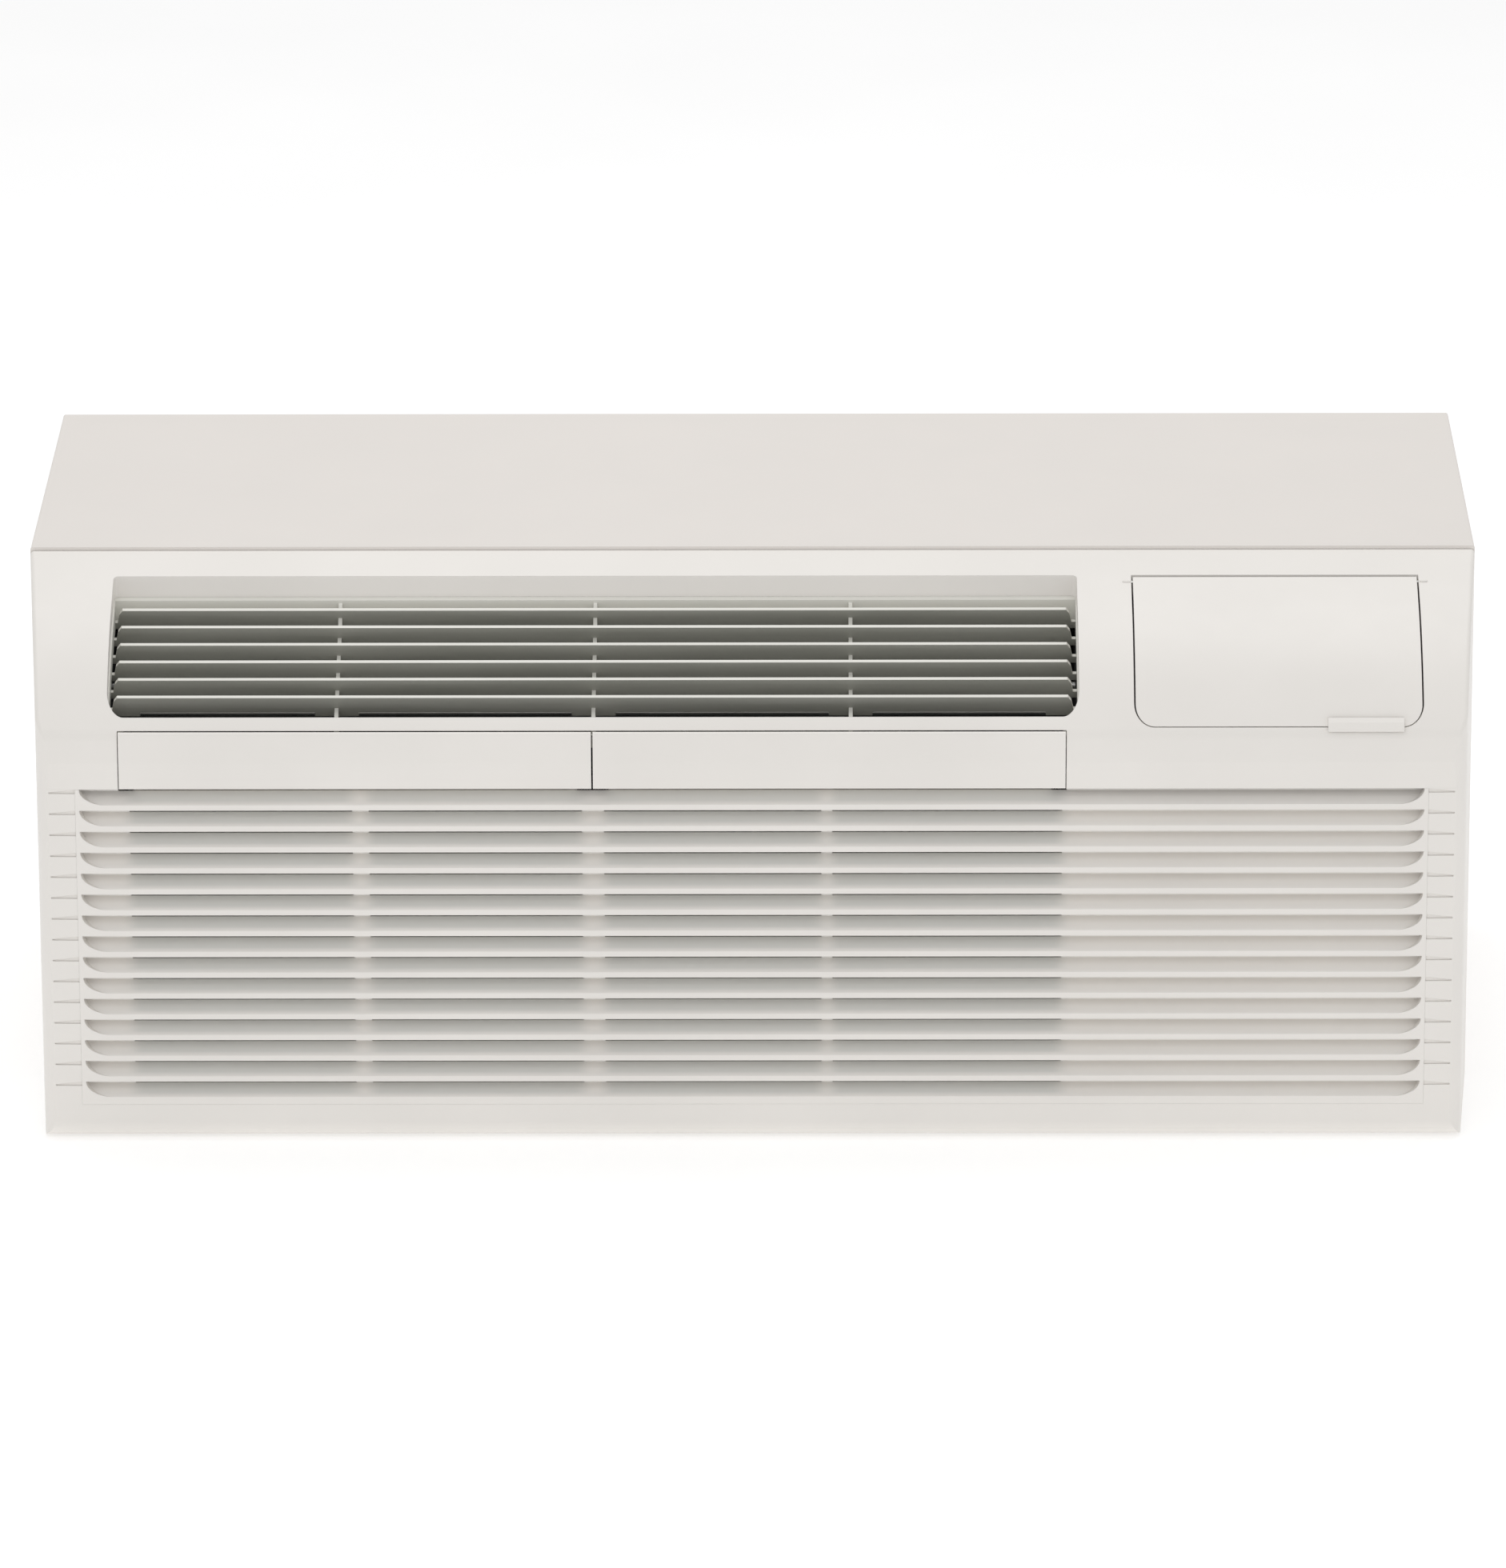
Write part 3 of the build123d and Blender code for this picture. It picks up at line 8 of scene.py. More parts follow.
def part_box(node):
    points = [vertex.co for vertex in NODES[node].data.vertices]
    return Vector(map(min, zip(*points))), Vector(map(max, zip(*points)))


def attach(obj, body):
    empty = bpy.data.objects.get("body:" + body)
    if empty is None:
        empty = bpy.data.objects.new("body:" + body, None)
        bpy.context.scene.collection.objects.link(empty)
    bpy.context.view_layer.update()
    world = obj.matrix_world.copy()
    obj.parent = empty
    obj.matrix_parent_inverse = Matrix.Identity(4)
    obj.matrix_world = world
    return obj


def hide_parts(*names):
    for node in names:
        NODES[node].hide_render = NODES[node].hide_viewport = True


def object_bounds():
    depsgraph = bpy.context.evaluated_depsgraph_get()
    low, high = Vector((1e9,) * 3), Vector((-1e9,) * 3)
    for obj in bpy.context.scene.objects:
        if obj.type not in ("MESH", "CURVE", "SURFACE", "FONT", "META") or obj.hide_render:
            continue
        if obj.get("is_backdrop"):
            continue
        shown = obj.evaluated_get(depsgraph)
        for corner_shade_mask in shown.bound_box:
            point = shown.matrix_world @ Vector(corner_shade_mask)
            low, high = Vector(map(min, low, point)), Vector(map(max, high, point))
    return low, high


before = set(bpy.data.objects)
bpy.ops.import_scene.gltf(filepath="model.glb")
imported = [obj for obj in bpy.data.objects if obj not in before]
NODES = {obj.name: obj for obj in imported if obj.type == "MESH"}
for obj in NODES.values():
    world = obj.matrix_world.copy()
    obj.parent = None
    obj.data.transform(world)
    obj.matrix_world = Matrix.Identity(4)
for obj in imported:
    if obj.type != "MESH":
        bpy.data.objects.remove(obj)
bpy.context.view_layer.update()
MM = 0.001
LEAN = math.radians(17.0)  # of the filters and of the indoor coil behind them


# ---------------------------------------------------------------- material helpers
class Nodes:
    """A material's node tree, with short calls for the nodes used most."""

    def __init__(self, name):
        self.material = bpy.data.materials.new(name)
        self.material.use_nodes = True
        self.tree = self.material.node_tree
        self.shader = self.tree.nodes["Principled BSDF"]

    def node(self, kind, **values):
        """A new node, with its settings."""
        made = self.tree.nodes.new(kind)
        for key, value in values.items():
            setattr(made, key, value)
        return made

    def link(self, source, target):
        self.tree.links.new(source, target)

    def connect(self, socket, value):
        """Put a colour or a number straight on a socket, or link another node's output to it."""
        if isinstance(value, tuple):
            socket.default_value = (*value, 1.0)
        elif isinstance(value, (int, float)):
            socket.default_value = value
        else:
            self.link(value, socket)

    def place(self, scale=(1.0, 1.0, 1.0)):
        """Object coordinates, which are the shared frame's metres, stretched by a scale."""
        coords = self.node("ShaderNodeTexCoord")
        mapping = self.node("ShaderNodeMapping")
        mapping.inputs["Scale"].default_value = scale
        self.link(coords.outputs["Object"], mapping.inputs["Vector"])
        return mapping.outputs["Vector"]

    def noise(self, vector, scale, detail=3.0, roughness=0.5):
        made = self.node("ShaderNodeTexNoise")
        made.inputs["Scale"].default_value = scale
        made.inputs["Detail"].default_value = detail
        made.inputs["Roughness"].default_value = roughness
        self.link(vector, made.inputs["Vector"])
        return made.outputs["Fac"]

    def ramp(self, value, stops):
        """A colour ramp through pairs of a position and a colour."""
        made = self.node("ShaderNodeValToRGB")
        ends = made.color_ramp.elements
        while len(ends) < len(stops):
            ends.new(0.5)
        for element, (position, colour) in zip(ends, stops):
            element.position = position
            element.color = (*colour, 1.0)
        self.link(value, made.inputs["Fac"])
        return made.outputs["Color"]

    def spread(self, value, low, high, start=0.3, end=0.7):
        """Map a texture's middle range onto low to high."""
        made = self.node("ShaderNodeMapRange")
        made.inputs["From Min"].default_value = start
        made.inputs["From Max"].default_value = end
        made.inputs["To Min"].default_value = low
        made.inputs["To Max"].default_value = high
        self.link(value, made.inputs["Value"])
        return made.outputs["Result"]

    def ease(self, value, start, end):
        """A smooth step from 0 at start to 1 at end."""
        made = self.node("ShaderNodeMapRange", interpolation_type="SMOOTHSTEP")
        made.inputs["From Min"].default_value = start
        made.inputs["From Max"].default_value = end
        self.link(value, made.inputs["Value"])
        return made.outputs["Result"]

    def calc(self, operation, *values):
        made = self.node("ShaderNodeMath", operation=operation)
        for socket, value in zip(made.inputs, values):
            self.connect(socket, value)
        return made.outputs["Value"]

    def mix(self, factor, a, b):
        made = self.node("ShaderNodeMix", data_type="RGBA")
        for socket, value in (("Factor", factor), ("A", a), ("B", b)):
            self.connect(made.inputs[socket], value)
        return made.outputs["Result"]

    def bump(self, height, strength, distance, normal=None):
        made = self.node("ShaderNodeBump")
        made.inputs["Strength"].default_value = strength
        made.inputs["Distance"].default_value = distance
        self.link(height, made.inputs["Height"])
        if normal is not None:
            self.link(normal, made.inputs["Normal"])
        return made.outputs["Normal"]

    def soft_edge(self, radius):
        """A normal that rounds the mesh's sharp edges in the light only."""
        made = self.node("ShaderNodeBevel", samples=6)
        made.inputs["Radius"].default_value = radius
        return made.outputs["Normal"]

    def finish(self, colour, roughness, normal=None, **constants):
        """Join the results to the shader, and set its other constants by name."""
        for socket, value in (("Base Color", colour), ("Roughness", roughness), ("Normal", normal)):
            if value is not None:
                self.connect(self.shader.inputs[socket], value)
        for key, value in constants.items():
            self.shader.inputs[key.replace("_", " ")].default_value = value
        return self.material


def tint(colour, factor):
    """A colour made lighter or darker, with no channel over 1."""
    return tuple(min(1.0, c * factor) for c in colour)


def moulded_plastic(name, colour, roughness=0.42, grain=0.05, edge=0.6 * MM, corner_shade=0.06, reach=6 * MM,
                    shade_paint=None):
    """Moulded plastic: fine eroded grain, faint flow marks, painted shade darkening its corners, and a
    painted shade mixed in where asked.
    """
    m = Nodes(name)
    at = m.place()
    flow = m.noise(at, 7.0, 4.0)
    base = m.ramp(flow, ((0.3, tint(colour, 0.975)), (0.7, tint(colour, 1.015))))
    # Painted shade: the colour darkens towards a third of itself where ambient occlusion finds other
    # surfaces within reach, in corners and recesses.
    occlusion = m.node("ShaderNodeAmbientOcclusion", samples=6)
    occlusion.inputs["Distance"].default_value = reach
    corner_shade_mask = m.spread(occlusion.outputs["AO"], 1.0, 0.0, 0.35, 0.95)
    base = m.mix(m.calc("MULTIPLY", corner_shade_mask, corner_shade), base, tint(colour, 0.3))
    # A painted shade where asked: a mask, and the darker colour that it mixes in.
    if shade_paint is not None:
        mask, shade = shade_paint(m)
        base = m.mix(mask, base, shade)
    rough = m.spread(m.noise(at, 60.0, 3.0), roughness - 0.04, roughness + 0.05)
    grain_height = m.noise(at, 2600.0, 2.0)
    normal = m.bump(grain_height, grain, 0.05 * MM, m.soft_edge(edge))
    return m.finish(base, rough, normal, IOR=1.5)


# Where the grille is open to the filters, in X.
INTAKE_FIELDS = (
    (-455 * MM, -292 * MM),
    (-280 * MM, -124 * MM),
    (-108 * MM, 51 * MM),
    (59 * MM, 227 * MM),
)
FIELD_BLUR = 7 * MM
# The grey painted as shade on the grille's groove floors.
INTAKE_SHADE = (0.714, 0.705, 0.672)
# The grey painted as shade on the louvre blades' undersides.
UNDERSIDE_SHADE = (0.32, 0.32, 0.285)


def intake_groove_shade(m):
    """Painted shade: grey on the grille's groove floors, growing from 0.5 mm to 3.5 mm behind its
    front, only where the grille is open to the filters.
    """
    coords = m.node("ShaderNodeTexCoord")
    split = m.node("ShaderNodeSeparateXYZ")
    m.link(coords.outputs["Object"], split.inputs["Vector"])
    fields = 0.0
    for x0, x1 in INTAKE_FIELDS:
        rise = m.ease(split.outputs["X"], x0 - FIELD_BLUR, x0 + FIELD_BLUR)
        fall = m.ease(split.outputs["X"], x1 - FIELD_BLUR, x1 + FIELD_BLUR)
        fields = m.calc("ADD", m.calc("SUBTRACT", rise, fall), fields)
    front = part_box("return_grille")[0][1]
    depth = m.ease(split.outputs["Y"], front + 0.5 * MM, front + 3.5 * MM)
    return m.calc("MULTIPLY", fields, depth), INTAKE_SHADE


def underside_shade(m):
    """Painted shade: grey on the louvre blades' downward-facing undersides, broken up in soft streaks.
    """
    geometry = m.node("ShaderNodeNewGeometry")
    split = m.node("ShaderNodeSeparateXYZ")
    m.link(geometry.outputs["True Normal"], split.inputs["Vector"])
    under = m.ease(m.calc("MULTIPLY", split.outputs["Z"], -1.0), 0.15, 0.40)
    streaks = m.spread(m.noise(m.place((6.0, 90.0, 90.0)), 1.0, 4.0), 0.85, 1.0)
    return m.calc("MULTIPLY", under, streaks), UNDERSIDE_SHADE


def enamel(name, colour, roughness=0.34, peel=0.05, edge=0.5 * MM, coat=0.15):
    """Baked paint on sheet metal: orange peel, and slight waviness of the sheet."""
    m = Nodes(name)
    at = m.place()
    base = m.ramp(m.noise(at, 5.0, 5.0, 0.6), ((0.3, tint(colour, 0.99)), (0.7, tint(colour, 1.006))))
    rough = m.spread(m.noise(at, 24.0, 4.0), roughness - 0.05, roughness + 0.06)
    peel_height = m.noise(at, 420.0, 2.0)
    wave = m.noise(at, 6.0, 1.0)
    normal = m.bump(wave, 0.04, 1.0 * MM, m.soft_edge(edge))
    normal = m.bump(peel_height, peel, 0.3 * MM, normal)
    return m.finish(base, rough, normal, IOR=1.5, Coat_Weight=coat, Coat_Roughness=0.25)


def zinc_sheet(name, colour=(0.76, 0.775, 0.785), rough=0.46):
    """Galvanised sheet: spangle of flat crystals with soft differences in tone."""
    m = Nodes(name)
    at = m.place()
    cells = m.node("ShaderNodeTexVoronoi", feature="F1")
    cells.inputs["Scale"].default_value = 90.0
    m.link(at, cells.inputs["Vector"])
    tone = m.spread(cells.outputs["Color"], 0.0, 1.0, 0.0, 1.0)
    base = m.mix(tone, tint(colour, 0.82), tint(colour, 1.1))
    smear = m.noise(at, 14.0, 4.0)
    base = m.mix(m.spread(smear, 0.0, 0.35), base, tint(colour, 0.75))
    roughness = m.calc("ADD", m.spread(tone, -0.06, 0.08, 0.0, 1.0), rough)
    normal = m.bump(m.noise(at, 300.0, 2.0), 0.05, 0.2 * MM, m.soft_edge(0.4 * MM))
    return m.finish(base, roughness, normal, Metallic=0.8)


def brushed_metal(name, colour, rough=0.3, stretch=(4.0, 300.0, 300.0), metallic=1.0):
    """Rolled or ground metal: fine lines along the axis that is stretched least."""
    m = Nodes(name)
    at = m.place(stretch)
    lines = m.noise(at, 6.0, 4.0, 0.6)
    base = m.mix(m.spread(lines, 0.0, 1.0), tint(colour, 0.86), tint(colour, 1.06))
    roughness = m.spread(lines, rough - 0.07, rough + 0.1)
    normal = m.bump(lines, 0.08, 0.1 * MM, m.soft_edge(0.3 * MM))
    return m.finish(base, roughness, normal, Metallic=metallic)


TARNISHED = (0.30, 0.13, 0.08)
HANDLED = (0.62, 0.29, 0.17)
BRIGHT = (0.78, 0.42, 0.27)


def copper(name):
    """Drawn copper tube, from bright to tarnished in patches."""
    m = Nodes(name)
    at = m.place()
    stain = m.noise(at, 55.0, 6.0, 0.65)
    base = m.ramp(stain, ((0.28, TARNISHED), (0.5, HANDLED), (0.72, BRIGHT)))
    roughness = m.spread(stain, 0.38, 0.22)
    normal = m.bump(m.noise(at, 500.0, 2.0), 0.05, 0.1 * MM)
    return m.finish(base, roughness, normal, Metallic=1.0)


def rubber(name, colour=(0.022, 0.022, 0.022), rough=0.7, pores=900.0):
    """Rubber or closed-cell foam: matt, finely pored, with a grey bloom."""
    m = Nodes(name)
    at = m.place()
    bloom = m.noise(at, 30.0, 5.0)
    base = m.ramp(bloom, ((0.3, tint(colour, 0.8)), (0.75, tint(colour, 1.7))))
    normal = m.bump(m.noise(at, pores, 3.0), 0.25, 0.2 * MM, m.soft_edge(0.5 * MM))
    return m.finish(base, m.spread(bloom, rough - 0.08, rough + 0.08), normal)


def bead_foam(name, colour=(0.050, 0.052, 0.052)):
    """Expanded polystyrene: packed beads with fine dark joints."""
    m = Nodes(name)
    at = m.place()
    beads = m.node("ShaderNodeTexVoronoi", feature="DISTANCE_TO_EDGE")
    beads.inputs["Scale"].default_value = 330.0
    m.link(at, beads.inputs["Vector"])
    joint = m.spread(beads.outputs["Distance"], 1.0, 0.0, 0.0, 0.08)
    base = m.mix(m.calc("MULTIPLY", joint, 0.6), colour, tint(colour, 0.5))
    normal = m.bump(beads.outputs["Distance"], 0.3, 0.6 * MM)
    return m.finish(base, 0.75, normal)


def weave(name, colour=(0.10, 0.105, 0.105), pitch=1.6 * MM, thread=0.36):
    """Open plastic net: threads across and along, holes between them."""
    m = Nodes(name)
    coords = m.node("ShaderNodeTexCoord")
    split = m.node("ShaderNodeSeparateXYZ")
    m.link(coords.outputs["Object"], split.inputs["Vector"])

    def line(socket, step):
        cycle = m.calc("FRACT", m.calc("DIVIDE", socket, step))
        return m.calc("LESS_THAN", cycle, thread)

    along = line(split.outputs["Z"], pitch * math.cos(LEAN))
    cover = m.calc("MAXIMUM", line(split.outputs["X"], pitch), along)
    tone = m.ramp(m.noise(m.place(), 90.0, 4.0), ((0.3, tint(colour, 0.8)), (0.7, tint(colour, 1.4))))
    m.link(cover, m.shader.inputs["Alpha"])
    normal = m.bump(cover, 0.4, 0.2 * MM)
    return m.finish(tone, 0.5, normal)


def circuit_board(name):
    """Green board: blocks of solder mask with lighter tracks between them."""
    m = Nodes(name)
    at = m.place((140.0, 140.0, 140.0))
    tracks = m.node("ShaderNodeTexBrick")
    tracks.inputs["Scale"].default_value = 1.0
    tracks.inputs["Mortar Size"].default_value = 0.05
    tracks.inputs["Color1"].default_value = (0.010, 0.10, 0.045, 1)
    tracks.inputs["Color2"].default_value = (0.014, 0.13, 0.06, 1)
    tracks.inputs["Mortar"].default_value = (0.03, 0.22, 0.11, 1)
    m.link(at, tracks.inputs["Vector"])
    return m.finish(tracks.outputs["Color"], 0.35, m.bump(tracks.outputs["Fac"], 0.2, 0.1 * MM))


def smoked_window(name):
    """Dark glossy plastic with fine wipe marks."""
    m = Nodes(name)
    at = m.place()
    base = m.ramp(m.noise(at, 20.0, 3.0), ((0.3, (0.012, 0.013, 0.014)), (0.7, (0.018, 0.019, 0.021))))
    rough = m.spread(m.noise(at, 160.0, 4.0), 0.06, 0.12)
    normal = m.bump(m.noise(at, 90.0, 2.0), 0.02, 0.1 * MM)
    return m.finish(base, rough, normal, Coat_Weight=0.6, Coat_Roughness=0.05)


# ---------------------------------------------------------------- materials for the CAD nodes
WARM_WHITE = (0.850, 0.820, 0.780)
SLEEVE_WHITE = (0.830, 0.786, 0.742)
# The louvre's plastic is the cover's warm white made greyer, as painted shade for the louvre set in the
# discharge opening.
LOUVRE_SHADED_WHITE = (0.78, 0.77, 0.715)
COVER = moulded_plastic("cover_plastic", WARM_WHITE)
# Painted shade in its corners, and grey painted shade on the groove floors of its open fields.
GRILLE = moulded_plastic("grille_plastic", WARM_WHITE, corner_shade=0.08, reach=8 * MM, shade_paint=intake_groove_shade)
# Painted shade in its corners within 12 mm and on the blades' undersides.
LOUVRE = moulded_plastic("louvre_plastic", LOUVRE_SHADED_WHITE, corner_shade=0.12, reach=12 * MM, shade_paint=underside_shade)
DOOR = moulded_plastic("door_plastic", WARM_WHITE, roughness=0.38)
INNER = moulded_plastic("inner_plastic", (0.42, 0.42, 0.40), roughness=0.5)
FASCIA = moulded_plastic("fascia_plastic", (0.60, 0.59, 0.56), roughness=0.4)
KEYS = rubber("key_rubber", (0.20, 0.205, 0.21), rough=0.5, pores=1500.0)
SLEEVE = enamel("sleeve_enamel", SLEEVE_WHITE)
ZINC = zinc_sheet("galvanised_sheet")
STEEL = brushed_metal("plated_steel", (0.62, 0.62, 0.60), 0.28)
ALUMINIUM = brushed_metal("louvre_aluminium", (0.66, 0.66, 0.65), 0.36)
FINS = brushed_metal("fin_aluminium", (0.86, 0.87, 0.88), 0.42, (300.0, 300.0, 4.0), 0.7)
COPPER = copper("copper_tube")
RUBBER = rubber("black_rubber")
FOAM = rubber("closed_cell_foam", (0.05, 0.05, 0.05), 0.85, 500.0)
BEADS = bead_foam("bead_foam")
NET = weave("filter_net")
DARK = moulded_plastic("black_plastic", (0.035, 0.036, 0.038), roughness=0.48, grain=0.08)
BLACK_ENAMEL = enamel("black_enamel", (0.022, 0.022, 0.024), 0.32, 0.09)
GREY_ENAMEL = enamel("grey_enamel", (0.34, 0.36, 0.37), 0.4, 0.08)
BOARD = circuit_board("circuit_board")
WINDOW = smoked_window("smoked_window")
SEGMENTS = moulded_plastic("display_segments", (0.10, 0.12, 0.12), roughness=0.3)
PRINT = moulded_plastic("key_print", (0.78, 0.78, 0.76), roughness=0.5)

LOOKS = {
    COVER: ["front_cover", "filter_handle_left", "filter_handle_right"],
    GRILLE: ["return_grille"],
    LOUVRE: ["discharge_louvre"],
    DOOR: ["control_door"],
    INNER: ["filter_rails", "filter_frame_left", "filter_frame_right", "drain_tray"],
    FASCIA: ["control_panel"],
    KEYS: [n for n in NODES if n.startswith("button_")],
    SLEEVE: ["wall_sleeve"],
    ZINC: ["base_pan", "bulkhead", "fan_shroud", "control_box", "motor_cradle", "fan_motor_stand",
           "vent_door"],
    STEEL: ["grille_screws", "door_pins", "compressor_studs", "blower_shaft", "outdoor_fan_shaft",
            "vent_hinge", "heater_rods", "run_capacitor"],
    ALUMINIUM: ["outdoor_grille"],
    FINS: ["indoor_coil", "outdoor_coil"],
    COPPER: ["indoor_coil_bends", "outdoor_coil_bends", "discharge_line", "suction_line", "liquid_line",
             "filter_drier", "capillary"],
    RUBBER: ["compressor_feet", "line_grommets", "cord_bushing", "blower_bearing"],
    FOAM: ["chassis_seals"],
    BEADS: ["scroll_housing"],
    NET: ["filter_net_left", "filter_net_right"],
    DARK: ["blower_wheel", "outdoor_fan", "terminal_block", "vent_rod"],
    BLACK_ENAMEL: ["compressor", "accumulator"],
    GREY_ENAMEL: ["blower_motor", "outdoor_fan_motor"],
    BOARD: ["control_board"],
    WINDOW: ["display_window"],
}


def dress_nodes():
    """Give every CAD node its material, and stop if one is left out."""
    dressed = set()
    for material, names in LOOKS.items():
        for name in names:
            mesh = NODES[name].data
            mesh.materials.clear()
            mesh.materials.append(material)
            dressed.add(name)
    left = set(NODES) - dressed
    assert not left, left


# ---------------------------------------------------------------- pieces made here
def new_piece(name, points, faces, material, body, slot):
    """A mesh piece with its material and the body that it rides on; the slot argument is not used."""
    mesh = bpy.data.meshes.new(name)
    mesh.from_pydata(points, [], faces)
    mesh.materials.append(material)
    piece = bpy.data.objects.new(name, mesh)
    bpy.context.scene.collection.objects.link(piece)
    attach(piece, body)
    return piece


def plate_stack(sections):
    """Thin plates square to X, each given as its two X faces and its outline in Y and Z."""
    points, faces = [], []
    for x0, x1, outline in sections:
        first, n = len(points), len(outline)
        points += [(x0, y, z) for y, z in outline]
        points += [(x1, y, z) for y, z in outline]
        faces.append([first + i for i in range(n)])
        faces.append([first + n + i for i in reversed(range(n))])
        for i in range(n):
            k = (i + 1) % n
            faces.append([first + i, first + n + i, first + n + k, first + k])
    return points, faces


FIN_PITCH = 2.0 * MM
FIN_T = 0.22 * MM
FIN_SLIP = 0.12  # mm along the stack, for most fins
BENT_SHARE = 0.02
BENT_BY = 0.5  # mm, for the few that were knocked
EDGE_WAVE = 0.35  # mm by which a fin's edge falls back
COIL_X = (-455.0 * MM, 225.0 * MM)
COIL_Z = (46.0 * MM, 268.0 * MM)
COIL_DEEP = 37.65 * MM
COIL_TUBES = [66.0 * MM + 22.0 * MM * i for i in range(8)]
COIL_ROWS = (10.0 * MM, 28.0 * MM)
COIL_FACE = (-231.794 * MM, 273.0 * MM)  # a point in the plane of its front face, in Y and Z
OUTDOOR_TUBES = [18.0 * MM + 25.0 * MM * i for i in range(14)]
OUTDOOR_ROWS = (9.0 * MM, 24.0 * MM)
SIDE_PLATE = 1.2 * MM
TUBE_R = 3.5 * MM


def tube_rows(places, x0, x1, sides=14):
    """Straight tubes along X, one at each place in Y and Z."""
    turns = [math.tau * i / sides for i in range(sides)]
    sections = []
    for y, z in places:
        ring = [(y + TUBE_R * math.cos(a), z + TUBE_R * math.sin(a)) for a in turns]
        sections.append((x0, x1, ring))
    return plate_stack(sections)


def fin_sections(x0, x1, corner_at, seed):
    """Fins at one pitch, each a hair out of line, as handled fins are."""
    dice = random.Random(seed)
    sections = []
    count = round((x1 - x0) / FIN_PITCH)
    for i in range(1, count):
        x = x0 + (x1 - x0) * i / count
        slip = dice.uniform(-FIN_SLIP, FIN_SLIP) * MM
        if dice.random() < BENT_SHARE:
            slip = dice.choice((-BENT_BY, BENT_BY)) * MM
        corners = corner_at(dice.uniform(0.0, EDGE_WAVE) * MM)
        sections.append((x + slip - FIN_T / 2, x + slip + FIN_T / 2, corners))
    return sections


def coil_y(z):
    """Front face of the leaning indoor coil at a height."""
    return COIL_FACE[0] - (z - COIL_FACE[1]) * math.tan(LEAN)


def indoor_fins():
    """The leaning indoor coil: fins, two end plates on their feet, and two rows of tubes."""
    low, high = COIL_Z

    def outline(inset):
        return [(coil_y(low) + inset, low), (coil_y(low) + COIL_DEEP - inset, low),
                (coil_y(high) + COIL_DEEP - inset, high), (coil_y(high) + inset, high)]

    box_low, box_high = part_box("indoor_coil")
    points, faces = plate_stack(fin_sections(*COIL_X, outline, 5))
    fins = new_piece("indoor_fins", points, faces, FINS, "chassis", "fin_aluminium")
    foot = box_low[2]
    front, back, top = -2 * MM, COIL_DEEP + 1 * MM, high + 2 * MM
    shape = [(coil_y(foot) + front, foot), (coil_y(low) + back, foot), (coil_y(low) + back, low),
             (coil_y(high) + back, top), (coil_y(high) + front, top)]
    ends = [(box_low[0], COIL_X[0], shape), (COIL_X[1], box_high[0], shape)]
    plates = new_piece("indoor_end_plates", *plate_stack(ends), ZINC, "chassis", "galvanised")
    places = [(coil_y(z) + row, z) for z in COIL_TUBES for row in COIL_ROWS]
    rows = tube_rows(places, box_low[0], box_high[0])
    tubes = new_piece("indoor_tubes", *rows, COPPER, "chassis", "copper")
    for piece in (fins, plates, tubes):
        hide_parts("indoor_coil")


def outdoor_fins():
    """The upright outdoor coil: fins, two end plates and two rows of tubes."""
    low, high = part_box("outdoor_coil")

    def outline(inset):
        return [(low[1] + inset, low[2]), (high[1] - inset, low[2]),
                (high[1] - inset, high[2]), (low[1] + inset, high[2])]

    sections = fin_sections(low[0] + SIDE_PLATE, high[0] - SIDE_PLATE, outline, 9)
    fins = new_piece("outdoor_fins", *plate_stack(sections), FINS, "chassis", "fin_aluminium")
    ends = [(low[0], low[0] + SIDE_PLATE, outline(0.0)), (high[0] - SIDE_PLATE, high[0], outline(0.0))]
    plates = new_piece("outdoor_end_plates", *plate_stack(ends), ZINC, "chassis", "galvanised")
    places = [(low[1] + row, low[2] + z) for z in OUTDOOR_TUBES for row in OUTDOOR_ROWS]
    rows = tube_rows(places, low[0], high[0])
    tubes = new_piece("outdoor_tubes", *rows, COPPER, "chassis", "copper")
    for piece in (fins, plates, tubes):
        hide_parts("outdoor_coil")


# The control panel's face: its middle line, its direction up the slope, and its direction outwards.
PANEL_MIDDLE = Vector((0.0, -191.0 * MM, 344.5 * MM))
PANEL_UP = Vector((0.0, 82.0, 55.0)).normalized()
PANEL_OUT = Vector((0.0, -55.0, 82.0)).normalized()
KEY_ROW = -18.0 * MM  # up the slope from the middle line, as WINDOW_CENTRE's second value is
KEY_TOP = 2.4 * MM
WINDOW_CENTRE = (348.0 * MM, 14.0 * MM)
WINDOW_TOP = 0.2 * MM
FILM = 0.12 * MM
SUNK = 0.05 * MM
SIGN_THIN = 0.55 * MM
SIGN_BOLD = 0.7 * MM


def on_panel(shapes, base, top):
    """Flat prisms on the sloped control panel, from outlines in its own X and up-slope directions."""
    points, faces = [], []
    for outline in shapes:
        first, n = len(points), len(outline)
        for height in (base, top):
            for u, v in outline:
                place = PANEL_MIDDLE + PANEL_UP * v + PANEL_OUT * height
                points.append((u, place.y, place.z))
        faces.append([first + n + i for i in range(n)])
        faces.append([first + i for i in reversed(range(n))])
        for i in range(n):
            k = (i + 1) % n
            faces.append([first + i, first + k, first + n + k, first + n + i])
    return points, faces


def arc_strip(u, v, radius, width, start, end, steps=20):
    """A strip along part of a circle, out along its far side and back along its near side."""
    turns = [math.radians(start + (end - start) * i / steps) for i in range(steps + 1)]

    def side(reach, order):
        return [(u + reach * math.cos(a), v + reach * math.sin(a)) for a in order]

    return side(radius + width / 2, turns) + side(radius - width / 2, reversed(turns))


def bar(u, v, wide, tall):
    """A rectangle about its centre."""
    return [(u - wide / 2, v - tall / 2), (u + wide / 2, v - tall / 2),
            (u + wide / 2, v + tall / 2), (u - wide / 2, v + tall / 2)]


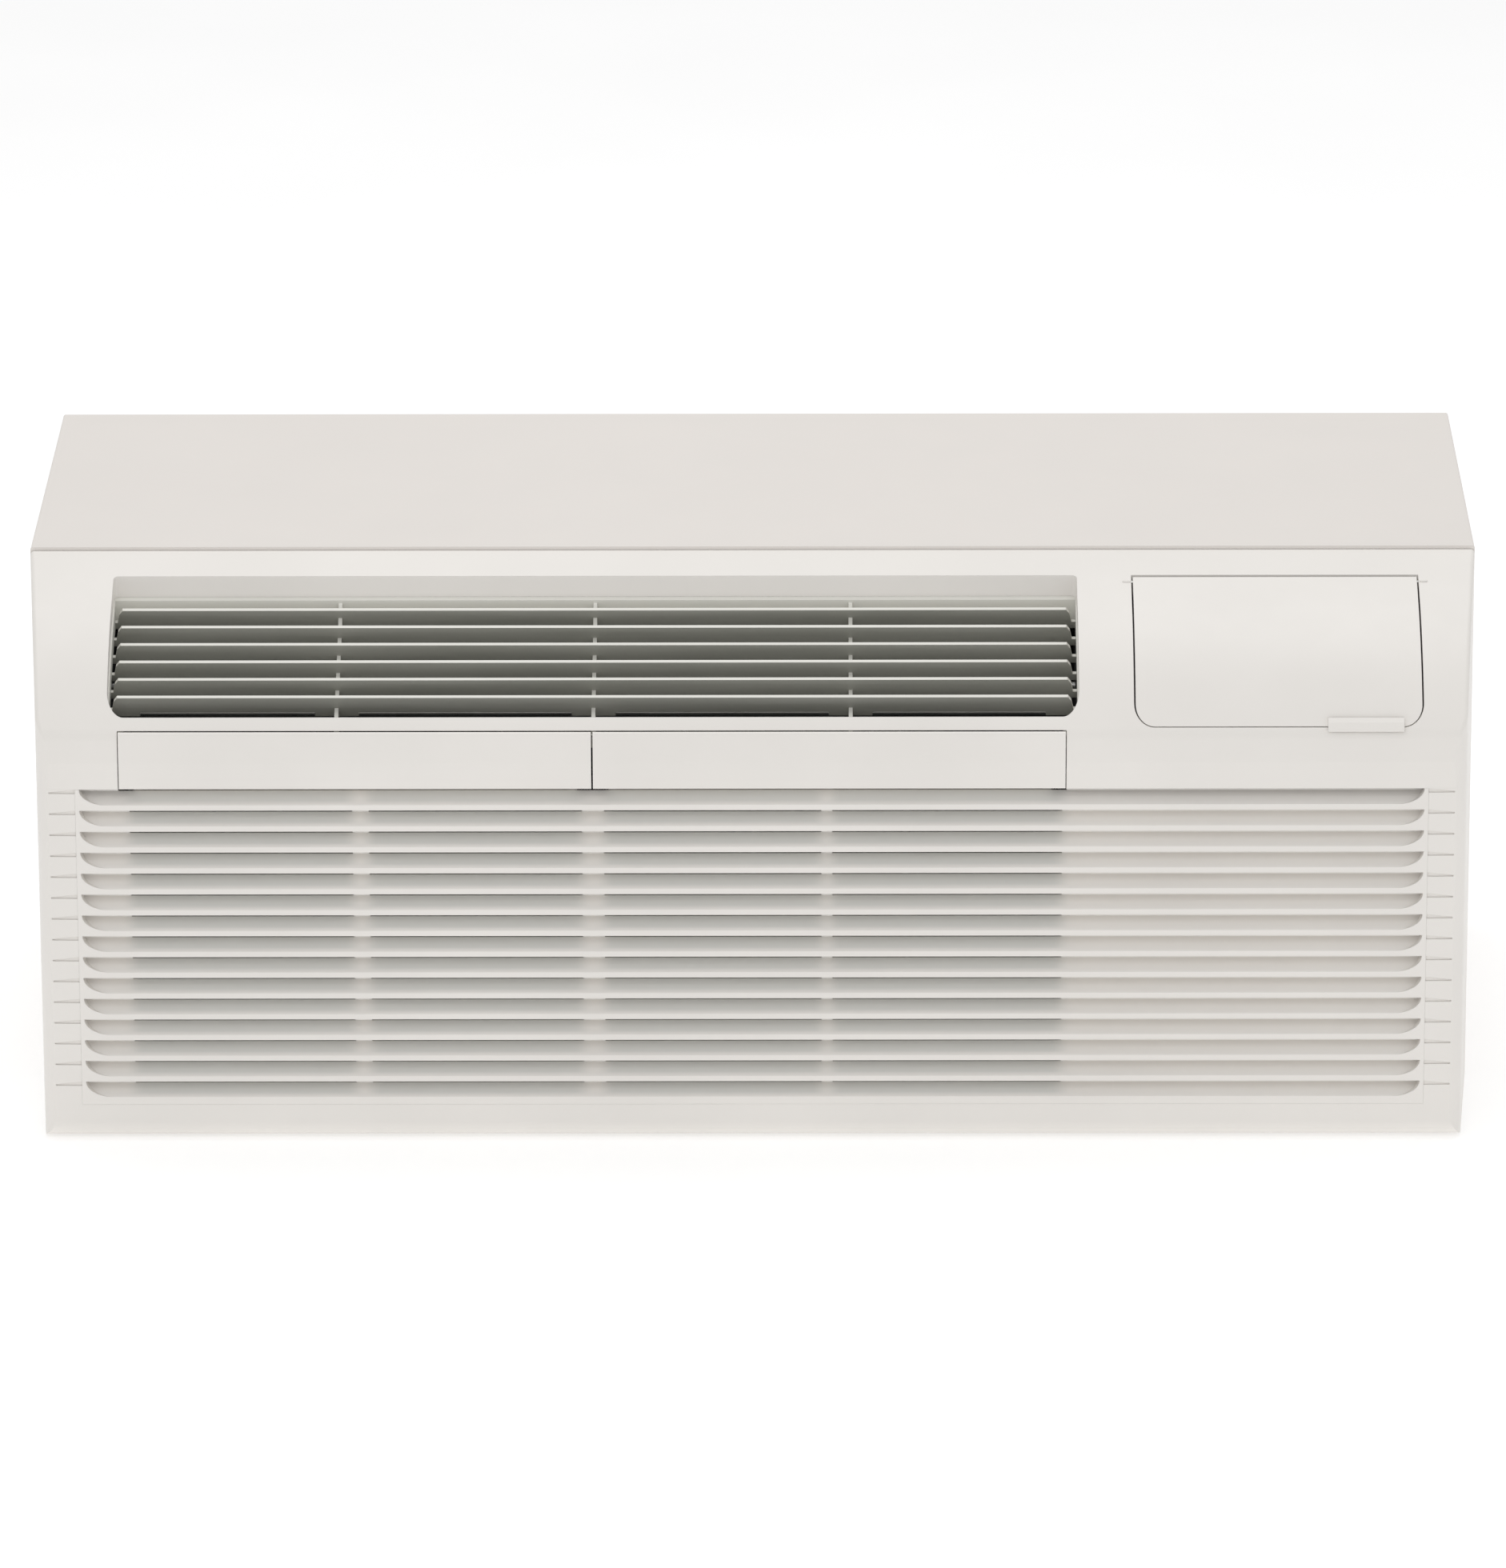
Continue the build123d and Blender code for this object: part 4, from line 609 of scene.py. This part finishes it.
def petal(u, v, turn):
    """One blade of the fan sign, turned about the sign's centre."""
    outline = [(0.3, 0.0), (1.0, 0.75), (2.1, 0.95), (2.6, 0.35), (2.3, -0.2), (1.2, -0.25)]  # mm
    c, s = math.cos(math.radians(turn)), math.sin(math.radians(turn))
    return [(u + (a * c - b * s) * MM, v + (a * s + b * c) * MM) for a, b in outline]


def signs_at(u, v):
    """The outlines of the five signs, centred at one place on the panel."""
    ring = arc_strip(u, v, 2.1 * MM, SIGN_THIN, 120, 420)
    minus = bar(u, v, 4.6 * MM, SIGN_BOLD)
    stems = [bar(u, v + step * MM, SIGN_BOLD, 2.0 * MM) for step in (1.35, -1.35)]
    return {
        "power": [ring, bar(u, v + 1.6 * MM, SIGN_THIN, 2.4 * MM)],
        "mode": [bar(u, v + step * MM, 5.0 * MM, SIGN_THIN) for step in (-1.5, 0.0, 1.5)],
        "fan": [petal(u, v, turn) for turn in (90, 210, 330)],
        "warmer": [minus, *stems],
        "cooler": [minus],
    }


def key_symbols():
    """Plain signs on the key caps: on and off, mode, fan, plus and minus."""
    for name in ("power", "mode", "fan", "warmer", "cooler"):
        low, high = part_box("button_" + name)
        signs = signs_at((low[0] + high[0]) / 2, KEY_ROW)[name]
        points, faces = on_panel(signs, KEY_TOP - SUNK, KEY_TOP + FILM)
        new_piece("sign_" + name, points, faces, PRINT, "button_" + name, "button_plastic")


DIGIT_SIDE = 9 * MM
DIGIT_RISE = 6.4 * MM
DIGIT_HALF = 4.0 * MM
STROKE = 1.2 * MM
LAMP_SIDE = 26 * MM
LAMP_STEP = 4.4 * MM
LAMP_COUNT = 4


def display_segments():
    """Two unlit seven-segment digits and a column of unlit lamps, a hair above the window's face."""
    u0, v0 = WINDOW_CENTRE
    shapes = []
    for u in (u0 - DIGIT_SIDE, u0 + DIGIT_SIDE):
        for rise in (-1, 0, 1):
            shapes.append(bar(u, v0 + rise * DIGIT_RISE, 6.0 * MM, STROKE))
        for side in (-1, 1):
            for rise in (-0.5, 0.5):
                shapes.append(bar(u + side * DIGIT_HALF, v0 + rise * DIGIT_RISE, STROKE, 4.8 * MM))
    for i in range(LAMP_COUNT):
        rise = (i - (LAMP_COUNT - 1) / 2) * LAMP_STEP
        shapes.append(bar(u0 + LAMP_SIDE, v0 + rise, 2.4 * MM, 1.4 * MM))
    points, faces = on_panel(shapes, WINDOW_TOP - SUNK, WINDOW_TOP + FILM)
    new_piece("display_segments", points, faces, SEGMENTS, "chassis", "display")


# ---------------------------------------------------------------- stage, light, camera
WORLD_LIGHT = 0.60
FLOOR_TONE = 0.83
FLOOR_GLOW = 0.37
FLOOR_SIZE = 40.0
FLOOR_GAP = 0.5 * MM
KEY_LIGHT = {"place": (-0.6, -3.0, 3.2), "aim": (0, -0.1, 0.2), "size": (3.0, 2.0), "power": 15.0}
TOP_LIGHT = {"place": (0.0, 0.4, 3.2), "aim": (0, 0.0, 0.2), "size": (3.0, 2.4), "power": 34.0}


def studio():
    """Pale floor under an even sky, seen in the tone of the far floor so that no horizon shows."""
    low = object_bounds()[0]
    bpy.ops.mesh.primitive_plane_add(size=FLOOR_SIZE, location=(0, 0, low[2] - FLOOR_GAP))
    floor = bpy.context.object
    floor.name = "studio_floor"
    m = Nodes("studio_floor")
    tones = [(place, (FLOOR_TONE + shift,) * 3) for place, shift in ((0.3, -0.01), (0.7, 0.01))]
    base = m.ramp(m.noise(m.place(), 3.0, 3.0), tones)
    m.shader.inputs["Emission Color"].default_value = (1.0, 1.0, 1.0, 1.0)
    floor.data.materials.append(m.finish(base, 0.9, Emission_Strength=FLOOR_GLOW))
    floor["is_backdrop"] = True
    world = bpy.data.worlds.new("studio")
    bpy.context.scene.world = world
    world.use_nodes = True
    backdrop = world.node_tree.nodes["Background"]
    backdrop.inputs["Color"].default_value = (1.0, 1.0, 1.0, 1.0)
    paths = world.node_tree.nodes.new("ShaderNodeLightPath")
    strength = world.node_tree.nodes.new("ShaderNodeMapRange")
    strength.inputs["To Min"].default_value = WORLD_LIGHT
    strength.inputs["To Max"].default_value = FLOOR_TONE * WORLD_LIGHT + FLOOR_GLOW
    world.node_tree.links.new(paths.outputs["Is Camera Ray"], strength.inputs["Value"])
    world.node_tree.links.new(strength.outputs["Result"], backdrop.inputs["Strength"])


def area_light(name, place, aim, size, power):
    """A soft rectangular light, turned towards its aim."""
    data = bpy.data.lights.new(name, "AREA")
    data.shape = "RECTANGLE"
    data.size, data.size_y = size
    data.energy = power
    light = bpy.data.objects.new(name, data)
    light.location = place
    light.rotation_euler = (Vector(aim) - Vector(place)).to_track_quat("-Z", "Y").to_euler()
    bpy.context.scene.collection.objects.link(light)


CAMERA_ELEVATION = 18.36
CAMERA_AZIMUTH = 0.47
CAMERA_DISTANCE = 7.649
CAMERA_ROLL = -0.21
CAMERA_LENS = 237.7
SENSOR = 36.0
AIM_DROP = 0.1755  # below the sleeve's top front edge, in the picture's own up direction
FAR_CLIP = 60.0


def camera():
    """A long lens well back from the sleeve's top front edge, looking down at the cabinet."""
    low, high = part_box("wall_sleeve")
    edge = Vector((0.0, low[1], high[2]))
    tilt, turn = math.radians(CAMERA_ELEVATION), math.radians(CAMERA_AZIMUTH)
    ahead = Vector((-math.sin(turn) * math.cos(tilt), math.cos(turn) * math.cos(tilt), -math.sin(tilt)))
    right = ahead.cross(Vector((0, 0, 1))).normalized()
    up = right.cross(ahead)
    target = edge - up * AIM_DROP
    data = bpy.data.cameras.new("camera")
    data.lens = CAMERA_LENS
    data.sensor_fit = "VERTICAL"
    data.sensor_height = SENSOR
    data.sensor_width = SENSOR
    data.clip_end = FAR_CLIP
    eye = bpy.data.objects.new("camera", data)
    eye.location = target - ahead * CAMERA_DISTANCE
    roll = Quaternion((0, 0, 1), math.radians(CAMERA_ROLL))
    eye.rotation_euler = (ahead.to_track_quat("-Z", "Y") @ roll).to_euler()
    bpy.context.scene.collection.objects.link(eye)
    bpy.context.scene.camera = eye


dress_nodes()
indoor_fins()
outdoor_fins()
key_symbols()
display_segments()
studio()
area_light("key", **KEY_LIGHT)
area_light("top", **TOP_LIGHT)
camera()
bpy.context.scene.view_settings.view_transform = "Standard"
